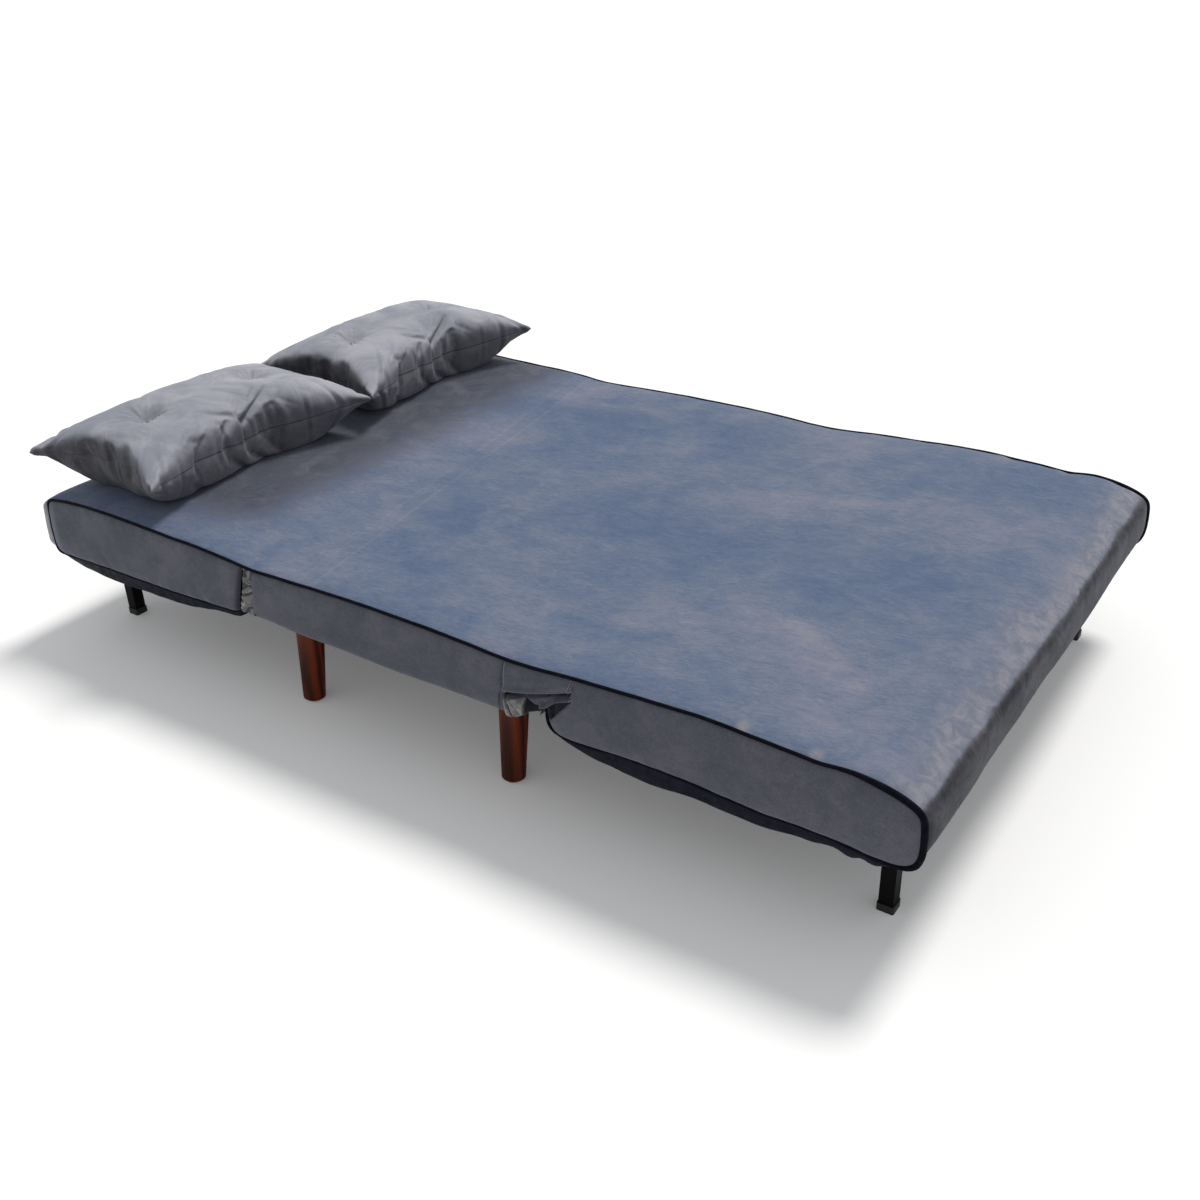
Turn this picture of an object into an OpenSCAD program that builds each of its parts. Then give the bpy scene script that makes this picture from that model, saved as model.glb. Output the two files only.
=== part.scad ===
// Three-section folding futon sofa bed with a reclining backrest, a fold-over foot section and loose pillows.
// Millimetres. X runs across the bed, +Y towards the head end, +Z up. The origin is on the floor under the middle.

/* [Bed] */
// Width of the bed over the piping
bed_width = 1200; // [1100:10:1400]
// Head section, from its hinge line to its outer end
head_length = 603; // [560:1:700]
// Seat section, between the two hinge lines
seat_length = 674; // [640:1:760]
// Foot section, from its hinge line to its outer end
foot_length = 643; // [590:1:740]
// How far the pillows reach past the head end
pillow_overhang = 40; // [10:5:80]

/* [Upholstery] */
// Depth of the head and foot sections at their side panels
panel_depth = 116; // [110:1:140]
// Depth of the seat section at its side panels
seat_depth = 88.4; // [87:0.1:90]
// Clearance between the seat and the foot section when it lies on the seat
fold_clearance = 0.6; // [0.4:0.1:1.5]
// Height of a head or foot top over the hinge axis
top_rise = 4; // [3:0.5:5]
// Thickness of the quilted cover
cover_wall = 2.5; // [2:0.1:3]
// Radius of the outer top corner of the head and foot sections
end_top_r = 45; // [20:1:60]
// Radius of the outer bottom corner of the head and foot sections
end_bottom_r = 20; // [12:1:30]
// Radius of the lower corners at the hinge lines
hinge_bottom_r = 12; // [11:1:18]
// Radius of the piping
welt_r = 4; // [3:0.5:5]
// How far the padded undersides bulge below the side panels
underside_sag = 28; // [10:1:35]

/* [Hinge gaps] */
// Gap between two sections along a hinge line
hinge_gap = 17; // [16:0.5:22]
// Width of the side gusset at the head hinge
recline_gusset_w = 30; // [26:1:40]
// Width of the side gusset at the foot hinge
fold_gusset_w = 133; // [110:1:140]
// Number of folds in a foot hinge gusset
fold_gusset_pleats = 7; // [4:1:9]

/* [Frame] */
// Side of the square frame tubes
tube = 25; // [22:1:28]
// Wall of the frame tubes
tube_wall = 2; // [1.5:0.25:2.5]
// Distance of the frame tubes' outer faces from the side of the bed
rail_inset = 35; // [32:1:60]
// Slats in each section
slat_count = 9; // [6:1:11]
// Width of a slat
slat_w = 53; // [45:1:60]
// Thickness of a slat
slat_t = 8; // [6:0.5:9]
// Rise of a slat's bow
slat_bow = 6; // [2:1:8]

/* [Wooden legs] */
// Height of the seat's underside over the floor
seat_bottom_z = 203; // [190:1:230]
// Diameter of a wooden leg at its foot
leg_foot_d = 44; // [36:1:50]
// Diameter of a wooden leg at its top
leg_top_d = 58; // [50:1:62]
// Outward splay of a wooden leg, in degrees
leg_splay = 5.5; // [0:0.5:7]
// Middle of a leg's top from the side of the bed
leg_top_inset = 89; // [80:1:120]
// Rear legs' distance from the head hinge line
rear_leg_inset = 49; // [46:1:60]
// Front legs' distance from the foot hinge line
front_leg_inset = 126; // [110:1:200]

/* [Steel legs] */
// Side of the square steel leg tube
post = 25; // [20:1:26]
// Middle of a steel leg from the side of the bed
post_inset = 115; // [100:1:160]
// Head legs' distance from the head end
head_leg_setback = 52; // [48:1:90]
// Foot legs' distance from the foot end
foot_leg_setback = 74; // [60:1:110]
// Radius of the pivot tube
axle_r = 11; // [10:0.5:12]
// Radius of the pivot bolts
axle_bolt_r = 5; // [4:0.5:6]

/* [Hinges] */
// Thickness of a hinge plate
plate_t = 5; // [4:0.5:6]
// Radius of a hinge eye
eye_r = 7; // [6.5:0.25:7.5]
// Radius of a hinge pin
hinge_pin_r = 3.5; // [3:0.25:4]
// Radius of the toothed quadrant
quadrant_r = 45; // [42:0.5:46]
// Largest recline of the backrest, in degrees
recline_max = 70; // [60:1:70]
// Locking positions of the backrest
recline_steps = 3; // [2:1:4]
// Swing of a pawl between its free and its locked place, in degrees
pawl_swing = 16; // [15:0.5:18]

/* [Pillows] */
// Length of a pillow across the bed
pillow_w = 580; // [500:4:584]
// Depth of a pillow along the bed
pillow_l = 400; // [340:10:420]
// Thickness of a pillow
pillow_t = 175; // [140:5:190]
// Distance between a pillow's two buttons
button_spacing = 320; // [240:10:360]
// Radius of a button
button_r = 12; // [9:1:14]

/* [Hidden] */
$fn = 48;

// Clearances
fit = 0.05;          // between a pin and its hole
seat_fit = 0.3;      // between soft or flat neighbours
plate_gap = 0.4;     // between two hinge plates that pass each other
swing_gap = 3;       // round a folding leg

// Places along the bed
bed_length = head_length + seat_length + foot_length;
head_end_y = (bed_length - pillow_overhang) / 2;
recline_y = head_end_y - head_length;
fold_y = recline_y - seat_length;
foot_end_y = fold_y - foot_length;
half_gap = hinge_gap / 2;
head_axle_y = head_end_y - head_leg_setback;
foot_axle_y = foot_end_y + foot_leg_setback;
rear_leg_y = recline_y - rear_leg_inset;
front_leg_y = fold_y + front_leg_inset;

// Heights
seat_top_z = seat_bottom_z + seat_depth;
hinge_z = seat_top_z + fold_clearance + top_rise;
panel_top_z = hinge_z + top_rise;
panel_bottom_z = panel_top_z - panel_depth;
rail_z = seat_bottom_z + 3;
rail_top_z = rail_z + tube;
axle_z = rail_z + axle_r;
underside_top_z = rail_z - seat_fit;
holder_floor = 3;
slat_end_z = rail_top_z + holder_floor;
foam_z = slat_end_z + slat_t + slat_bow + seat_fit;

// Places across the bed
half_width = bed_width / 2;
cover_x = half_width - 2 * welt_r - 0.2;
inner_x = cover_x - cover_wall;
rail_x = half_width - rail_inset;
rail_mid_x = rail_x - tube / 2;
post_x = half_width - post_inset;
leg_top_x = half_width - leg_top_inset;
moving_x = rail_x + plate_t + plate_gap;
pin_end_x = moving_x + plate_t;

// Hinge parts, measured from a hinge axis as [towards the section's outer end, up]
rail_dz = rail_z - hinge_z;
rail_top_dz = rail_top_z - hinge_z;
plate_reach = 150;
plate_edge = 2;      // a plate's edge inside the rail's edge
rivet_r = 6;
rivet_t = 2.5;
pin_head_r = 6;
pin_head_t = 2;
pawl_pin_r = 3;
pawl_boss_r = 7;
pawl_pivot = [-34, -quadrant_r - 5];
notch_depth = 8;
tooth_half = 3.5;
tooth_clear = 0.8;
window_x = rail_x - 3;          // inner side of the windows that the hinge parts pass through
window_dz = -top_rise - fold_clearance - cover_wall - 0.3;   // top of those windows, from the hinge axis
notch_len = 75;                 // length of the foam's corner notches

module both_sides() {
  children();
  mirror([1, 0, 0]) children();
}

// Draws a [Y, Z] outline as a plate from x, t thick
module side_plate(x, t) {
  translate([x, 0, 0]) rotate([90, 0, 90]) linear_extrude(t) children();
}

// Draws an [X, Z] outline along Y from y0 to y1
module cross_bar(y0, y1) {
  translate([0, y1, 0]) rotate([90, 0, 0]) linear_extrude(y1 - y0) children();
}

function arc(c, r, a0, a1, n = 8) = [for (i = [0:n]) c + r * [cos(a0 + (a1 - a0) * i / n), sin(a0 + (a1 - a0) * i / n)]];

// Side outline of a section: a is its hinge or rear end, b its outer or front end; r = [a bottom, b bottom, b top, a top]
function section_outline(a, b, z0, z1, r) = concat(
  arc([a + r[0], z0 + r[0]], r[0], 180, 270),
  arc([b - r[1], z0 + r[1]], r[1], 270, 360),
  arc([b - r[2], z1 - r[2]], r[2], 0, 90),
  arc([a + r[3], z1 - r[3]], r[3], 90, 180));

function inset_radii(r, d) = [for (v = r) max(v - d, 0.2)];

// All space between two heights
module slab(z0, z1) {
  reach = bed_width + bed_length;
  translate([-reach, -reach, z0]) cube([2 * reach, 2 * reach, z1 - z0]);
}

module at_head() {
  translate([0, recline_y, 0]) children();
}

// End sections are drawn with y = 0 on their hinge line and +Y outwards, so the foot's is mirrored
module at_foot() {
  translate([0, fold_y, 0]) mirror([0, 1, 0]) children();
}

// ---- Frame tubes and slats ----

module square_tube_y(x, y0, y1, z0) {
  translate([x - tube / 2, y0, z0]) difference() {
    cube([tube, y1 - y0, tube]);
    translate([tube_wall, -1, tube_wall]) cube([tube - 2 * tube_wall, y1 - y0 + 2, tube - 2 * tube_wall]);
  }
}

module square_tube_x(y, half) {
  translate([-half, y - tube / 2, rail_z]) difference() {
    cube([2 * half, tube, tube]);
    translate([-1, tube_wall, tube_wall]) cube([2 * half + 2, tube - 2 * tube_wall, tube - 2 * tube_wall]);
  }
}

rail_start = 30;                      // a side rail's distance from the hinge line
hinge_rail_y = 49;                    // middle of the tube along a hinge line, from that line
cross_half = rail_x - tube;           // half length of a cross tube, between the side rails
function axle_at(len, setback) = len - setback;
function end_rail_at(len, setback) = axle_at(len, setback) + post / 2 + swing_gap + 2 + tube / 2;

module end_section_side_rails(len, setback) {
  both_sides() difference() {
    square_tube_y(rail_mid_x, rail_start, end_rail_at(len, setback) + tube / 2, rail_z);
    translate([0, axle_at(len, setback), axle_z]) rotate([0, 90, 0]) cylinder(r = axle_bolt_r + fit, h = half_width);
  }
}

function slat_z(t) = slat_end_z + slat_bow * (1 - pow(2 * t - 1, 2));

// One bowed slat from y0 to y1, its middle at x
module slat(x, y0, y1) {
  n = 12;
  low = [for (i = [0:n]) [y0 + (y1 - y0) * i / n, slat_z(i / n)]];
  high = [for (i = [n:-1:0]) [low[i][0], low[i][1] + slat_t]];
  side_plate(x - slat_w / 2, slat_w) polygon(concat(low, high));
}

holder_wall = 4;
holder_lid = 2;
holder_h = holder_floor + slat_t + 1.5 + holder_lid;

// Slot-shaped plastic end cap for a slat: stands on a cross tube at y, open towards dir
module slat_holder(x, y, dir) {
  outer_w = slat_w + 2 * holder_wall;
  pocket_w = slat_w + seat_fit;
  translate([x, y, rail_top_z]) scale([1, dir, 1]) difference() {
    translate([-outer_w / 2, -tube / 2, 0]) cube([outer_w, tube, holder_h]);
    translate([-pocket_w / 2, -tube / 2 + holder_wall - seat_fit, holder_floor])
      cube([pocket_w, tube, holder_h - holder_floor - holder_lid]);
    translate([-outer_w / 2 - 1, -tube / 2, holder_h]) rotate([0, 90, 0])
      cylinder(r = holder_lid, h = outer_w + 2);
  }
}

slat_span = 2 * (cross_half - holder_wall);
function slat_x(i) = slat_span * ((i + 0.5) / slat_count - 0.5);

// Slats between two cross tubes at ya < yb
module slat_row(ya, yb) {
  for (i = [0:slat_count - 1])
    slat(slat_x(i), ya - tube / 2 + holder_wall, yb + tube / 2 - holder_wall);
}

module slat_holder_row(ya, yb) {
  for (i = [0:slat_count - 1]) {
    slat_holder(slat_x(i), ya, 1);
    slat_holder(slat_x(i), yb, -1);
  }
}

// ---- Upholstery ----

hem = 25;                   // width of the edge that the cover turns under
hinge_top_r = 3;            // small top corner along a hinge line
gusset_sink = 12;           // a gusset's upper edge below the section's top
gusset_t = 1.2;
gusset_wave = 1.8;
gusset_fit = 0.4;
gusset_mid_x = cover_x - gusset_wave - gusset_t;
gusset_in_x = gusset_mid_x - gusset_wave - gusset_fit;
end_radii = [hinge_bottom_r, end_bottom_r, end_top_r, hinge_top_r];
seat_radii = [hinge_bottom_r, hinge_bottom_r, hinge_top_r, hinge_top_r];

// Solid inside of an outline inset by d, between the side planes x = -x_half and x = x_half
module upholstery_form(a, b, z0, z1, radii, d, x_half) {
  side_plate(-x_half, 2 * x_half)
    polygon(section_outline(a + d, b - d, z0 + d, z1 - d, inset_radii(radii, d)));
}

// Windows in a cover's wall along the hinge line at y = 0, for the hinge plates, and the side openings for the gussets
module hinge_windows(z0, z1, gusset_w) {
  both_sides() {
    translate([window_x, 0, rail_z - 1])
      cube([half_width, half_gap + cover_wall + hinge_bottom_r, hinge_z + window_dz - rail_z + 1]);
    translate([gusset_in_x, 0, z0 - 1]) cube([half_width, gusset_w / 2, z1 - gusset_sink - z0 + 1]);
  }
}

// Stitched cover of one section: a thin shell, turned under at the bottom by the hem
module cover_shell(a, b, z0, z1, radii, edge) {
  difference() {
    upholstery_form(a, b, z0, z1, radii, 0, cover_x);
    upholstery_form(a, b, z0, z1, radii, cover_wall, inner_x);
    translate([-inner_x + edge, a + edge, z0 - 1]) cube([2 * (inner_x - edge), b - a - 2 * edge, cover_wall + 2]);
  }
}

module end_section_cover(len, gusset_w) {
  difference() {
    cover_shell(half_gap, len, panel_bottom_z, panel_top_z, end_radii, hem);
    hinge_windows(panel_bottom_z, panel_top_z, gusset_w);
  }
}

// Notches that keep the foam off the hinge plates, at the hinge line y = 0
module foam_notches() {
  both_sides() translate([window_x, -1, foam_z - 1]) cube([half_width, notch_len + 1, panel_top_z]);
}

module end_section_foam(len) {
  difference() {
    intersection() {
      upholstery_form(half_gap, len, panel_bottom_z, panel_top_z, end_radii, cover_wall + seat_fit, inner_x - seat_fit);
      slab(foam_z, panel_top_z);
    }
    foam_notches();
  }
}

// Lower outline of a padded underside between a and b, bulging by underside_sag
function sag_line(a, b, n = 14) = [for (i = [0:n]) let (t = 2 * i / n - 1)
  [(a + b) / 2 + (b - a) / 2 * t, panel_bottom_z + 1 - underside_sag * (1 - pow(abs(t), 3))]];

// Padded underside with two slots that the folding legs swing through
module end_section_underside(len, setback, gusset_w) {
  lip = hem + seat_fit;
  edge_x = inner_x - lip;
  a = half_gap + lip;
  b = len - lip;
  difference() {
    union() {
      intersection() {
        upholstery_form(half_gap, len, panel_bottom_z, panel_top_z, end_radii, cover_wall + seat_fit, inner_x - seat_fit);
        slab(panel_bottom_z, underside_top_z);
      }
      intersection() {
        side_plate(-edge_x, 2 * edge_x)
          polygon(concat(sag_line(a, b), [[b, underside_top_z], [a, underside_top_z]]));
        cross_bar(a, b)
          polygon(concat(sag_line(-edge_x, edge_x), [[edge_x, underside_top_z], [-edge_x, underside_top_z]]));
      }
    }
    both_sides() leg_slot(axle_at(len, setback));
    both_sides() translate([gusset_in_x, 0, panel_bottom_z]) cube([half_width, gusset_w / 2, tube]);
  }
}

// Room for one folding leg, from its pivot to its folded foot
module leg_slot(axle_y) {
  slot_w = post + 2 * swing_gap;
  tip = axle_z + swing_gap;
  translate([post_x - slot_w / 2, axle_y - tip, panel_bottom_z - underside_sag - 1])
    cube([slot_w, tip + post / 2 + swing_gap, axle_z]);
}

// Piping: a straight run and a rounded corner in the plane x = welt_x
welt_x = half_width - welt_r;

module welt_along(y0, y1, z) {
  translate([welt_x, y0, z]) rotate([-90, 0, 0]) cylinder(r = welt_r, h = y1 - y0);
}

module welt_up(y, z0, z1) {
  translate([welt_x, y, z0]) cylinder(r = welt_r, h = z1 - z0);
}

module welt_corner(yc, zc, r, a0, a1) {
  translate([welt_x, yc, zc]) rotate([90, 0, 90]) rotate([0, 0, a0])
    rotate_extrude(angle = a1 - a0) translate([r, 0]) circle(r = welt_r);
}

// Piping round one side of an end section, sewn along the top, the end and the bottom
module end_section_piping(len) {
  zt = panel_top_z - welt_r;
  zb = panel_bottom_z + welt_r;
  yo = len - welt_r;
  yi = half_gap + welt_r;
  rt = end_top_r - welt_r;
  rb = end_bottom_r - welt_r;
  rh = hinge_bottom_r - welt_r;
  curl = 60;
  both_sides() {
    welt_along(half_gap, yo - rt, zt);
    welt_corner(yo - rt, zt - rt, rt, 0, 90);
    welt_up(yo, zb + rb, zt - rt);
    welt_corner(yo - rb, zb + rb, rb, 270, 360);
    welt_along(yi + rh, yo - rb, zb);
    welt_corner(yi + rh, zb + rh, rh, 270 - curl, 270);
  }
}

// ---- Seat section ----

front_rail_y = fold_y + hinge_rail_y;
rear_rail_y = rear_leg_y;
seat_front_y = fold_y + half_gap;
seat_rear_y = recline_y - half_gap;

// Places children on both hinge lines, with their +Y towards the middle of the seat
module at_seat_ends() {
  translate([0, fold_y, 0]) children();
  translate([0, recline_y, 0]) mirror([0, 1, 0]) children();
}

module seat_side_rails() {
  color("dimgray") both_sides() square_tube_y(rail_mid_x, fold_y + rail_start, recline_y - rail_start, rail_z);
}

// Cross tube with the two holes for the wooden legs' bolts
module drilled_cross_tube(y) {
  difference() {
    square_tube_x(y, cross_half);
    both_sides() translate([leg_top_x, y, rail_z - 1]) cylinder(r = leg_bolt_r + fit, h = tube_wall + 2);
  }
}

module seat_rear_rail() {
  color("dimgray") drilled_cross_tube(rear_rail_y);
}

module seat_front_rail() {
  color("dimgray") square_tube_x(front_rail_y, cross_half);
}

module seat_leg_bar() {
  color("dimgray") drilled_cross_tube(front_leg_y);
}

module seat_slats() {
  color("burlywood") slat_row(front_rail_y, rear_rail_y);
}

module seat_slat_holders() {
  color("black") slat_holder_row(front_rail_y, rear_rail_y);
}

module seat_foam() {
  color("khaki") difference() {
    intersection() {
      upholstery_form(seat_front_y, seat_rear_y, seat_bottom_z, seat_top_z, seat_radii,
        cover_wall + seat_fit, inner_x - seat_fit);
      slab(foam_z, seat_top_z);
    }
    at_seat_ends() foam_notches();
  }
}

seat_hem = 15;

module seat_cover() {
  color("slategray") difference() {
    cover_shell(seat_front_y, seat_rear_y, seat_bottom_z, seat_top_z, seat_radii, seat_hem);
    translate([0, fold_y, 0]) hinge_windows(seat_bottom_z, seat_top_z, fold_gusset_w);
    translate([0, recline_y, 0]) mirror([0, 1, 0])
      hinge_windows(seat_bottom_z, seat_top_z, recline_gusset_w);
  }
}

module seat_dust_cover() {
  edge = seat_hem + seat_fit;
  color("dimgray") difference() {
    translate([-inner_x + edge, seat_front_y + edge, seat_bottom_z + seat_fit / 2])
      cube([2 * (inner_x - edge), seat_rear_y - seat_front_y - 2 * edge, rail_z - seat_bottom_z - seat_fit]);
    both_sides() for (y = [rear_leg_y, front_leg_y])
      translate([leg_top_x, y, 0]) cylinder(r = leg_bolt_r + seat_fit, h = rail_z);
  }
}

module seat_piping() {
  color("midnightblue") both_sides() welt_along(seat_front_y, seat_rear_y, seat_top_z - welt_r);
}

// ---- Wooden legs ----

glide_r = 14;
glide_t = 3;
leg_plate = 62;
leg_plate_t = 3;
leg_plate_corner_r = 8;
leg_bolt_r = 4;
leg_bolt_sink = 45;
leg_edge_r = 5;
leg_top_z = seat_bottom_z - leg_plate_t;
leg_foot_x = leg_top_x + (leg_top_z - glide_t) * tan(leg_splay);
leg_places = [[-1, rear_leg_y], [1, rear_leg_y], [-1, front_leg_y], [1, front_leg_y]];

// Turned, tapered leg, drilled from above for its bolt; side is -1 or 1 across the bed
module wooden_leg(side, y) {
  spare = 10;
  axis_len = leg_top_z / cos(leg_splay);
  grow = (leg_top_d - leg_foot_d) / 2 / axis_len;
  color("sienna") difference() {
    intersection() {
      translate([side * leg_top_x, y, leg_top_z]) rotate([0, -side * leg_splay, 0])
        translate([0, 0, glide_t - axis_len]) rotate_extrude() polygon(concat(
          [[0, 0], [leg_foot_d / 2 - leg_edge_r, 0]],
          arc([leg_foot_d / 2 - leg_edge_r, leg_edge_r], leg_edge_r, 270, 360, 6),
          [[leg_top_d / 2 + grow * spare, axis_len + spare], [0, axis_len + spare]]));
      slab(glide_t, leg_top_z);
    }
    translate([side * leg_top_x, y, leg_top_z - leg_bolt_sink]) cylinder(r = leg_bolt_r + fit, h = leg_bolt_sink + 1);
  }
}

module leg_rear_left() wooden_leg(-1, rear_leg_y);
module leg_rear_right() wooden_leg(1, rear_leg_y);
module leg_front_left() wooden_leg(-1, front_leg_y);
module leg_front_right() wooden_leg(1, front_leg_y);

// Outline of a square plate with round corners
module rounded_square(w, r) {
  square([w, w - 2 * r], center = true);
  square([w - 2 * r, w], center = true);
  for (i = [-1, 1], j = [-1, 1]) translate([i * (w / 2 - r), j * (w / 2 - r)]) circle(r = r);
}

module leg_plates() {
  color("black") for (p = leg_places)
    translate([p[0] * leg_top_x, p[1], leg_top_z]) difference() {
      linear_extrude(leg_plate_t) rounded_square(leg_plate, leg_plate_corner_r);
      translate([0, 0, -1]) cylinder(r = leg_bolt_r + fit, h = leg_plate_t + 2);
    }
}

module leg_bolts() {
  nut_r = 7;
  nut_h = 6;
  nut_z = rail_z + tube_wall;
  color("silver") for (p = leg_places) translate([p[0] * leg_top_x, p[1], 0]) {
    translate([0, 0, leg_top_z - leg_bolt_sink]) cylinder(r = leg_bolt_r, h = nut_z + nut_h + 3 - leg_top_z + leg_bolt_sink);
    translate([0, 0, nut_z]) cylinder(r = nut_r, h = nut_h, $fn = 6);
  }
}

module leg_glides() {
  color("gainsboro") for (p = leg_places) translate([p[0] * leg_foot_x, p[1], 0]) cylinder(r = glide_r, h = glide_t);
}

// ---- Hinges ----

// Arm outline from the neck under an eye to the frame rail on its +Y side
module arm_outline(neck_end) {
  low = rail_dz + plate_edge;
  high = rail_top_dz - plate_edge;
  circle(r = eye_r);
  polygon([[-eye_r, 0], [eye_r, 0], [eye_r, -10], [30, -50], [60, rail_top_dz + 3], [plate_reach, high],
    [plate_reach, low], [30, low], [14, -60], [8, -42], [neck_end, -34], [-eye_r, -30]]);
}

// Round boss of a plate at x, about the point at = [y, z]
module plate_boss(x, at, r) {
  translate([x, at[0], at[1]]) rotate([0, 90, 0]) cylinder(r = r, h = plate_t);
}

// Hole through a plate at x
module plate_hole(x, at, r) {
  translate([x - 1, at[0], at[1]]) rotate([0, 90, 0]) cylinder(r = r + fit, h = plate_t + 2);
}

// Rivets that hold a plate to its rail, standing t proud of x
module rivets(x) {
  for (y = [plate_reach - 80, plate_reach - 20])
    translate([x, y, (rail_dz + rail_top_dz) / 2]) rotate([0, 90, 0]) cylinder(r1 = rivet_r, r2 = rivet_r - 2, h = rivet_t);
}

// Spacer that brings a moving plate outside the plate that it passes
module arm_spacer() {
  translate([rail_x, rail_start, rail_dz + plate_edge])
    cube([plate_t + plate_gap, plate_reach - rail_start, tube - 2 * plate_edge]);
}

module at_recline_axis() {
  translate([0, recline_y, hinge_z]) children();
}

module at_fold_axis() {
  translate([0, fold_y, hinge_z]) children();
}

// Plate on the seat, which also carries the pawl's pin
module fixed_plate() {
  boss_foot = pawl_boss_r - 2;
  foot_dz = rail_dz + plate_edge;
  difference() {
    union() {
      mirror([0, 1, 0]) side_plate(rail_x, plate_t) arm_outline(eye_r);
      plate_boss(rail_x, pawl_pivot, pawl_boss_r);
      translate([rail_x, pawl_pivot[0] - boss_foot, foot_dz]) cube([plate_t, 2 * boss_foot, pawl_pivot[1] - foot_dz]);
    }
    plate_hole(rail_x, [0, 0], hinge_pin_r);
    plate_hole(rail_x, pawl_pivot, pawl_pin_r);
  }
}

module recline_fixed_plates() {
  color("darkgray") at_recline_axis() both_sides() {
    fixed_plate();
    mirror([0, 1, 0]) rivets(rail_x + plate_t);
  }
}

step_angle = recline_max / recline_steps;
quadrant_from = 83;          // the quadrant's ends, in degrees below the +Y direction
quadrant_to = 170;
quadrant_top = window_dz - 0.4;

// One notch of the quadrant, cut for the pawl's tooth, at an angle below +Y
module quadrant_notch(angle) {
  root = tooth_half + tooth_clear - 0.3;
  rim = tooth_half + tooth_clear + 1.4;
  rotate(-angle) polygon([[quadrant_r - notch_depth, -root], [quadrant_r + 2, -rim], [quadrant_r + 2, rim],
    [quadrant_r - notch_depth, root]]);
}

module quadrant_outline() {
  difference() {
    intersection() {
      circle(r = quadrant_r, $fn = 96);
      polygon(concat([[0, 0]], arc([0, 0], 2 * quadrant_r, -quadrant_from, -quadrant_to, 12)));
      translate([-2 * quadrant_r, -2 * quadrant_r]) square([4 * quadrant_r, 2 * quadrant_r + quadrant_top]);
    }
    for (i = [0:recline_steps]) quadrant_notch(90 + i * step_angle);
  }
}

module recline_moving_plates() {
  color("gray") at_recline_axis() both_sides() {
    difference() {
      union() {
        side_plate(moving_x, plate_t) arm_outline(eye_r - 4);
        side_plate(moving_x, plate_t) quadrant_outline();
      }
      plate_hole(moving_x, [0, 0], hinge_pin_r);
    }
    arm_spacer();
    rivets(pin_end_x);
  }
}

// Headed pin on a hinge axis, through both plates
module hinge_pin() {
  translate([rail_x - pin_head_t - 0.2, 0, 0]) rotate([0, 90, 0]) cylinder(r = pin_head_r, h = pin_head_t);
  translate([rail_x - 1, 0, 0]) rotate([0, 90, 0]) cylinder(r = hinge_pin_r, h = pin_end_x - rail_x + 1.4);
  translate([pin_end_x + 0.2, 0, 0]) rotate([0, 90, 0]) cylinder(r = pin_head_r, h = pin_head_t);
}

module recline_pins() {
  color("silver") at_recline_axis() both_sides() hinge_pin();
}

// Pawl in its locked place, with its tooth in a notch
module locked_pawl() {
  base = pawl_pivot[1];
  tip = notch_depth - quadrant_r - 1;
  root_x = pawl_pivot[0];
  difference() {
    union() {
      plate_boss(moving_x, pawl_pivot, pawl_boss_r);
      side_plate(moving_x, plate_t) polygon([[-tooth_half - 1, base + 3], [-12, base + 2.5], [root_x, base + 3.5],
        [root_x, base - 5], [tooth_half + 1.5, base - 5], [tooth_half + 1, base + 3], [tooth_half, tip], [-tooth_half, tip]]);
    }
    plate_hole(moving_x, pawl_pivot, pawl_pin_r);
  }
}

// Pawl hanging free of the teeth
module pawl() {
  pivot = [0, pawl_pivot[0], pawl_pivot[1]];
  color("goldenrod") at_recline_axis() translate(pivot) rotate([-pawl_swing, 0, 0]) translate(-pivot) locked_pawl();
}

module pawl_left() mirror([1, 0, 0]) pawl();
module pawl_right() pawl();

module pawl_pins() {
  color("silver") at_recline_axis() both_sides() translate([rail_x, pawl_pivot[0], pawl_pivot[1]]) rotate([0, 90, 0]) {
    cylinder(r = pawl_pin_r, h = pin_end_x - rail_x + 0.2);
    translate([0, 0, pin_end_x - rail_x + 0.2]) cylinder(r = pawl_pin_r + 2, h = pin_head_t);
  }
}

module fold_seat_lugs() {
  color("darkgray") at_fold_axis() both_sides() {
    difference() {
      side_plate(rail_x, plate_t) arm_outline(eye_r);
      plate_hole(rail_x, [0, 0], hinge_pin_r);
    }
    rivets(rail_x + plate_t);
  }
}

module fold_foot_lugs() {
  color("gray") at_fold_axis() mirror([0, 1, 0]) both_sides() {
    difference() {
      side_plate(moving_x, plate_t) arm_outline(eye_r);
      plate_hole(moving_x, [0, 0], hinge_pin_r);
    }
    arm_spacer();
    rivets(pin_end_x);
  }
}

module fold_pins() {
  color("silver") at_fold_axis() both_sides() hinge_pin();
}

// ---- Gussets ----

// Pleated cloth strip of width w about y, from z0 to z1
module gusset(y, w, pleats, z0, z1) {
  n = 6 * pleats;
  len = w - 2 * gusset_fit;
  wave = [for (i = [0:n]) [gusset_mid_x + gusset_wave * sin(360 * pleats * i / n), y - len / 2 + len * i / n]];
  outer = [for (i = [n:-1:0]) wave[i] + [gusset_t, 0]];
  translate([0, 0, z0]) linear_extrude(z1 - z0) polygon(concat(wave, outer));
}

gusset_z0 = rail_z;
gusset_z1 = seat_top_z - gusset_sink - gusset_fit;

module recline_gussets() {
  color("lightgray") both_sides() gusset(recline_y, recline_gusset_w, 3, gusset_z0, gusset_z1);
}

module fold_gussets() {
  color("lightsteelblue") both_sides() gusset(fold_y, fold_gusset_w, fold_gusset_pleats, gusset_z0, gusset_z1);
}

// ---- Back and foot sections ----

module back_side_rails() {
  color("dimgray") at_head() end_section_side_rails(head_length, head_leg_setback);
}

module back_hinge_rail() {
  color("dimgray") at_head() square_tube_x(hinge_rail_y, cross_half);
}

module back_end_rail() {
  color("dimgray") at_head() square_tube_x(end_rail_at(head_length, head_leg_setback), cross_half);
}

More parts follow.
